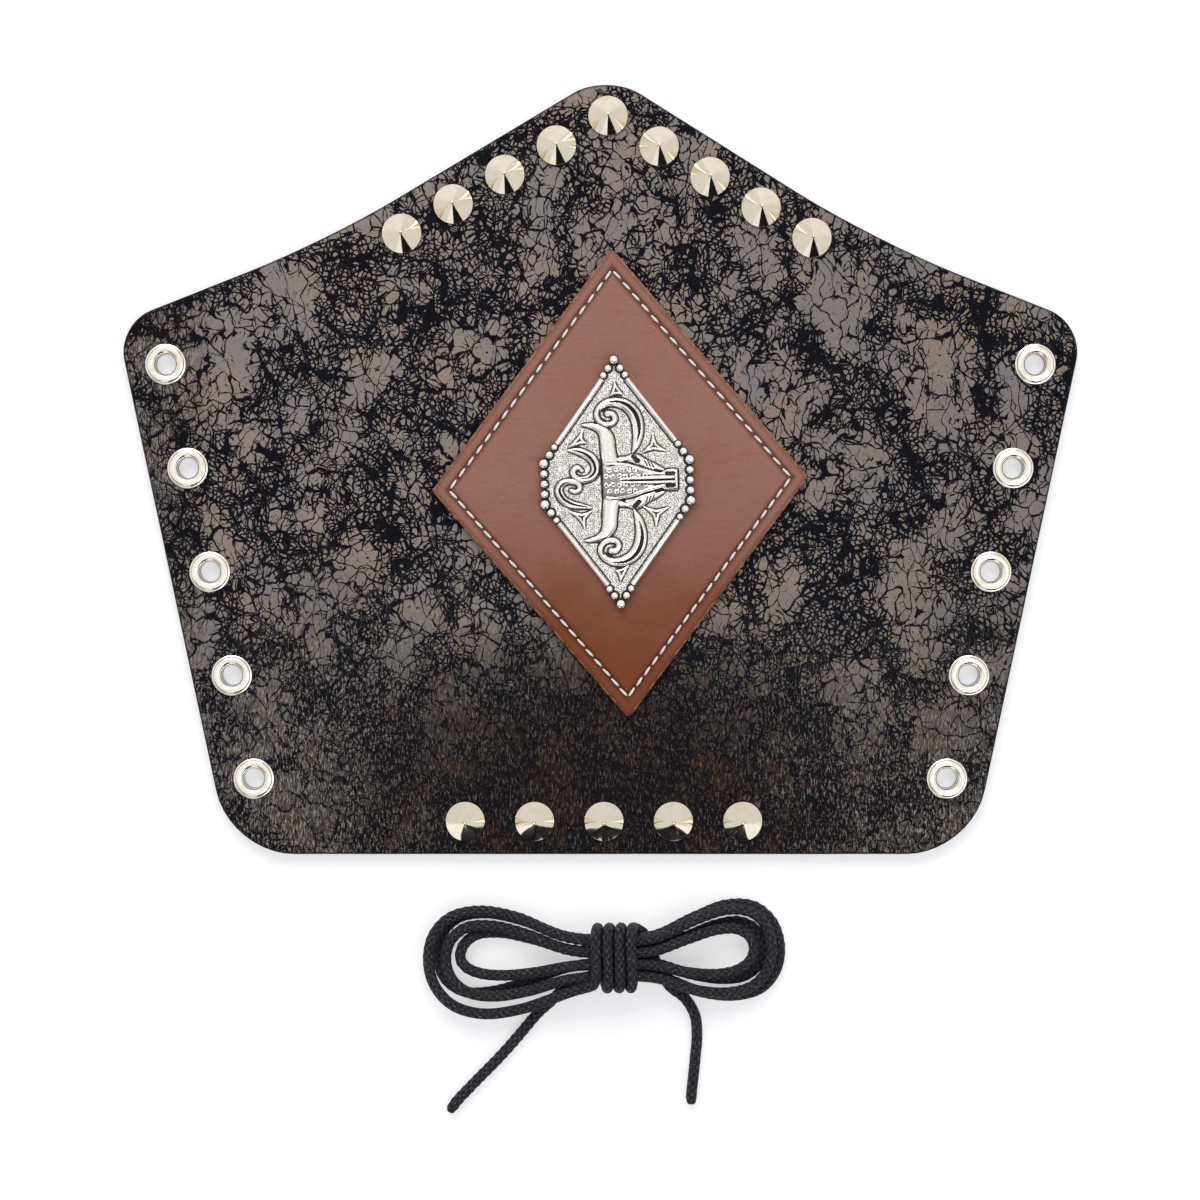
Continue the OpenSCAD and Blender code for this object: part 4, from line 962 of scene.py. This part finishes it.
place, coat = new_paint("pale_brass_plate")
film = place.noise(0.5, 3)
scuff = place.noise(4, 4, 0.7)
brass = film.rise(0.35, 0.65).mix((0.86, 0.80, 0.64, 1), (0.90, 0.86, 0.76, 1))
# Down in the throat the brass is painted grey: partly soiling from the leather, partly painted
# shade.
throat_soil_and_shade = 1 - place.axis(2).rise(top_z - 0.75, top_z + 0.15)
brass_paint = coat(height=scuff, depth=0.000002, Metallic=1.0,
                   Base_Color=throat_soil_and_shade.mix(brass, (0.34, 0.33, 0.35, 1)),
                   Roughness=0.1 + scuff * 0.1 + throat_soil_and_shade * 0.25)
for k, spot in enumerate(eyelet_spots):
    side, number = ("left", "right")[k // 5], k % 5 + 1
    turned(f"eyelet_{side}_{number}", eyelet_profile, spot, brass_paint,
           f"{side}_eyelet_{number}", 72, 60)
    turned(f"washer_{side}_{number}", washer_profile, spot, brass_paint,
           f"{side}_washer_{number}", 72, 60)


# The studio: a white table that keeps soft shadows, a large lamp beyond the peak, a paler
# fill, and a bright and a dark card at the near side that only the polished metal shows.
bm = bmesh.new()
bmesh.ops.create_grid(bm, x_segments=1, y_segments=1, size=4)
table_mesh = bpy.data.meshes.new("table")
bm.to_mesh(table_mesh)
bm.free()
table = bpy.data.objects.new("table", table_mesh)
scene.collection.objects.link(table)
table_paint = bpy.data.materials.new("white_table")
table_paint.use_nodes = True
table_paint.node_tree.nodes.clear()
start = Wire(table_paint.node_tree, None)
camera_way, glossy_way, clear_way = (start.node("LightPath", {}, {}, f"Is {way} Ray")
                                     for way in ("Camera", "Glossy", "Transmission"))
front = 1 - start.node("TexCoord", {}, {}, "Object").axis(1).rise(-0.3, 0)
shown = (glossy_way * (0.72 + front * 0.9)).most(camera_way).most(clear_way)
matt = start.node("BsdfDiffuse", {}, {"Color": (0.55, 0.55, 0.57, 1)})
glow = start.node("Emission", {}, {"Color": (1, 0.99, 1, 1), "Strength": shown * 0.52})
shown_by(table_paint.node_tree, "Material", start.node("AddShader", {}, {0: matt, 1: glow}))
table_mesh.materials.append(table_paint)

world = bpy.data.worlds.new("studio_world")
world.use_nodes = True
scene.world = world
world.node_tree.nodes.clear()
start = Wire(world.node_tree, None)
camera_way, glossy_way = (start.node("LightPath", {}, {}, f"Is {way} Ray")
                          for way in ("Camera", "Glossy"))
toward = start.node("TexCoord", {}, {}, "Generated")
height = toward.axis(2)
near_side = (0 - toward.axis(1)).rise(0.12, 0.55) * height.rise(0.2, 0.3)
near_side = near_side * (1 - height.rise(0.6, 0.85))
walls = (0.86 + height.rise(0.3, 0.62) * 0.14) * (1 - near_side * 0.75)
strength = 0.5 + camera_way * 0.5 + glossy_way * (walls - 0.5)
sky = start.node("Background", {}, {"Color": (1, 1, 1, 1), "Strength": strength})
shown_by(world.node_tree, "World", sky)


def lamp(name, spot, size, power, tone):
    """An oblong lamp that hangs at a spot and faces the middle of the table."""
    light = bpy.data.lights.new(name, "AREA")
    light.shape = "RECTANGLE"
    light.size, light.size_y = size
    light.energy = power
    light.color = tone
    made = bpy.data.objects.new(name, light)
    made.location = spot
    made.rotation_mode = "QUATERNION"
    made.rotation_quaternion = (-Vector(spot)).to_track_quat("-Z", "Y")
    scene.collection.objects.link(made)


lamp("key_lamp", (-0.15, 0.95, 0.95), (1.1, 0.7), 12.5, (1, 0.98, 0.95))
lamp("fill_lamp", (0.5, -0.5, 1.2), (0.9, 0.9), 4, (0.95, 0.97, 1))


card_way = 1.4


def card(name, azimuths, elevations, glow):
    """A flat card seen only by polished metal; its edges are given in degrees."""
    bm = bmesh.new()
    turns = [(azimuths[0], elevations[0]), (azimuths[1], elevations[0]),
             (azimuths[1], elevations[1]), (azimuths[0], elevations[1])]
    bm.faces.new([bm.verts.new((card_way * math.cos(math.radians(azimuth)),
                                card_way * math.sin(math.radians(azimuth)),
                                card_way * math.tan(math.radians(elevation))))
                  for azimuth, elevation in turns])
    mesh = bpy.data.meshes.new(name)
    bm.to_mesh(mesh)
    bm.free()
    made = bpy.data.objects.new(name, mesh)
    scene.collection.objects.link(made)
    made.visible_camera = made.visible_diffuse = made.visible_shadow = False
    made.visible_transmission = made.visible_volume_scatter = False
    paint = bpy.data.materials.new(name)
    paint.use_nodes = True
    paint.node_tree.nodes.clear()
    start = Wire(paint.node_tree, None)
    shown_by(paint.node_tree, "Material",
             start.node("Emission", {}, {"Color": (0.92, 0.95, 1, 1), "Strength": glow}))
    mesh.materials.append(paint)


card("bright_flap", (244, 267), (1.2, 35), 1.15)
card("dark_opening", (267, 301), (1.2, 35), 0.012)
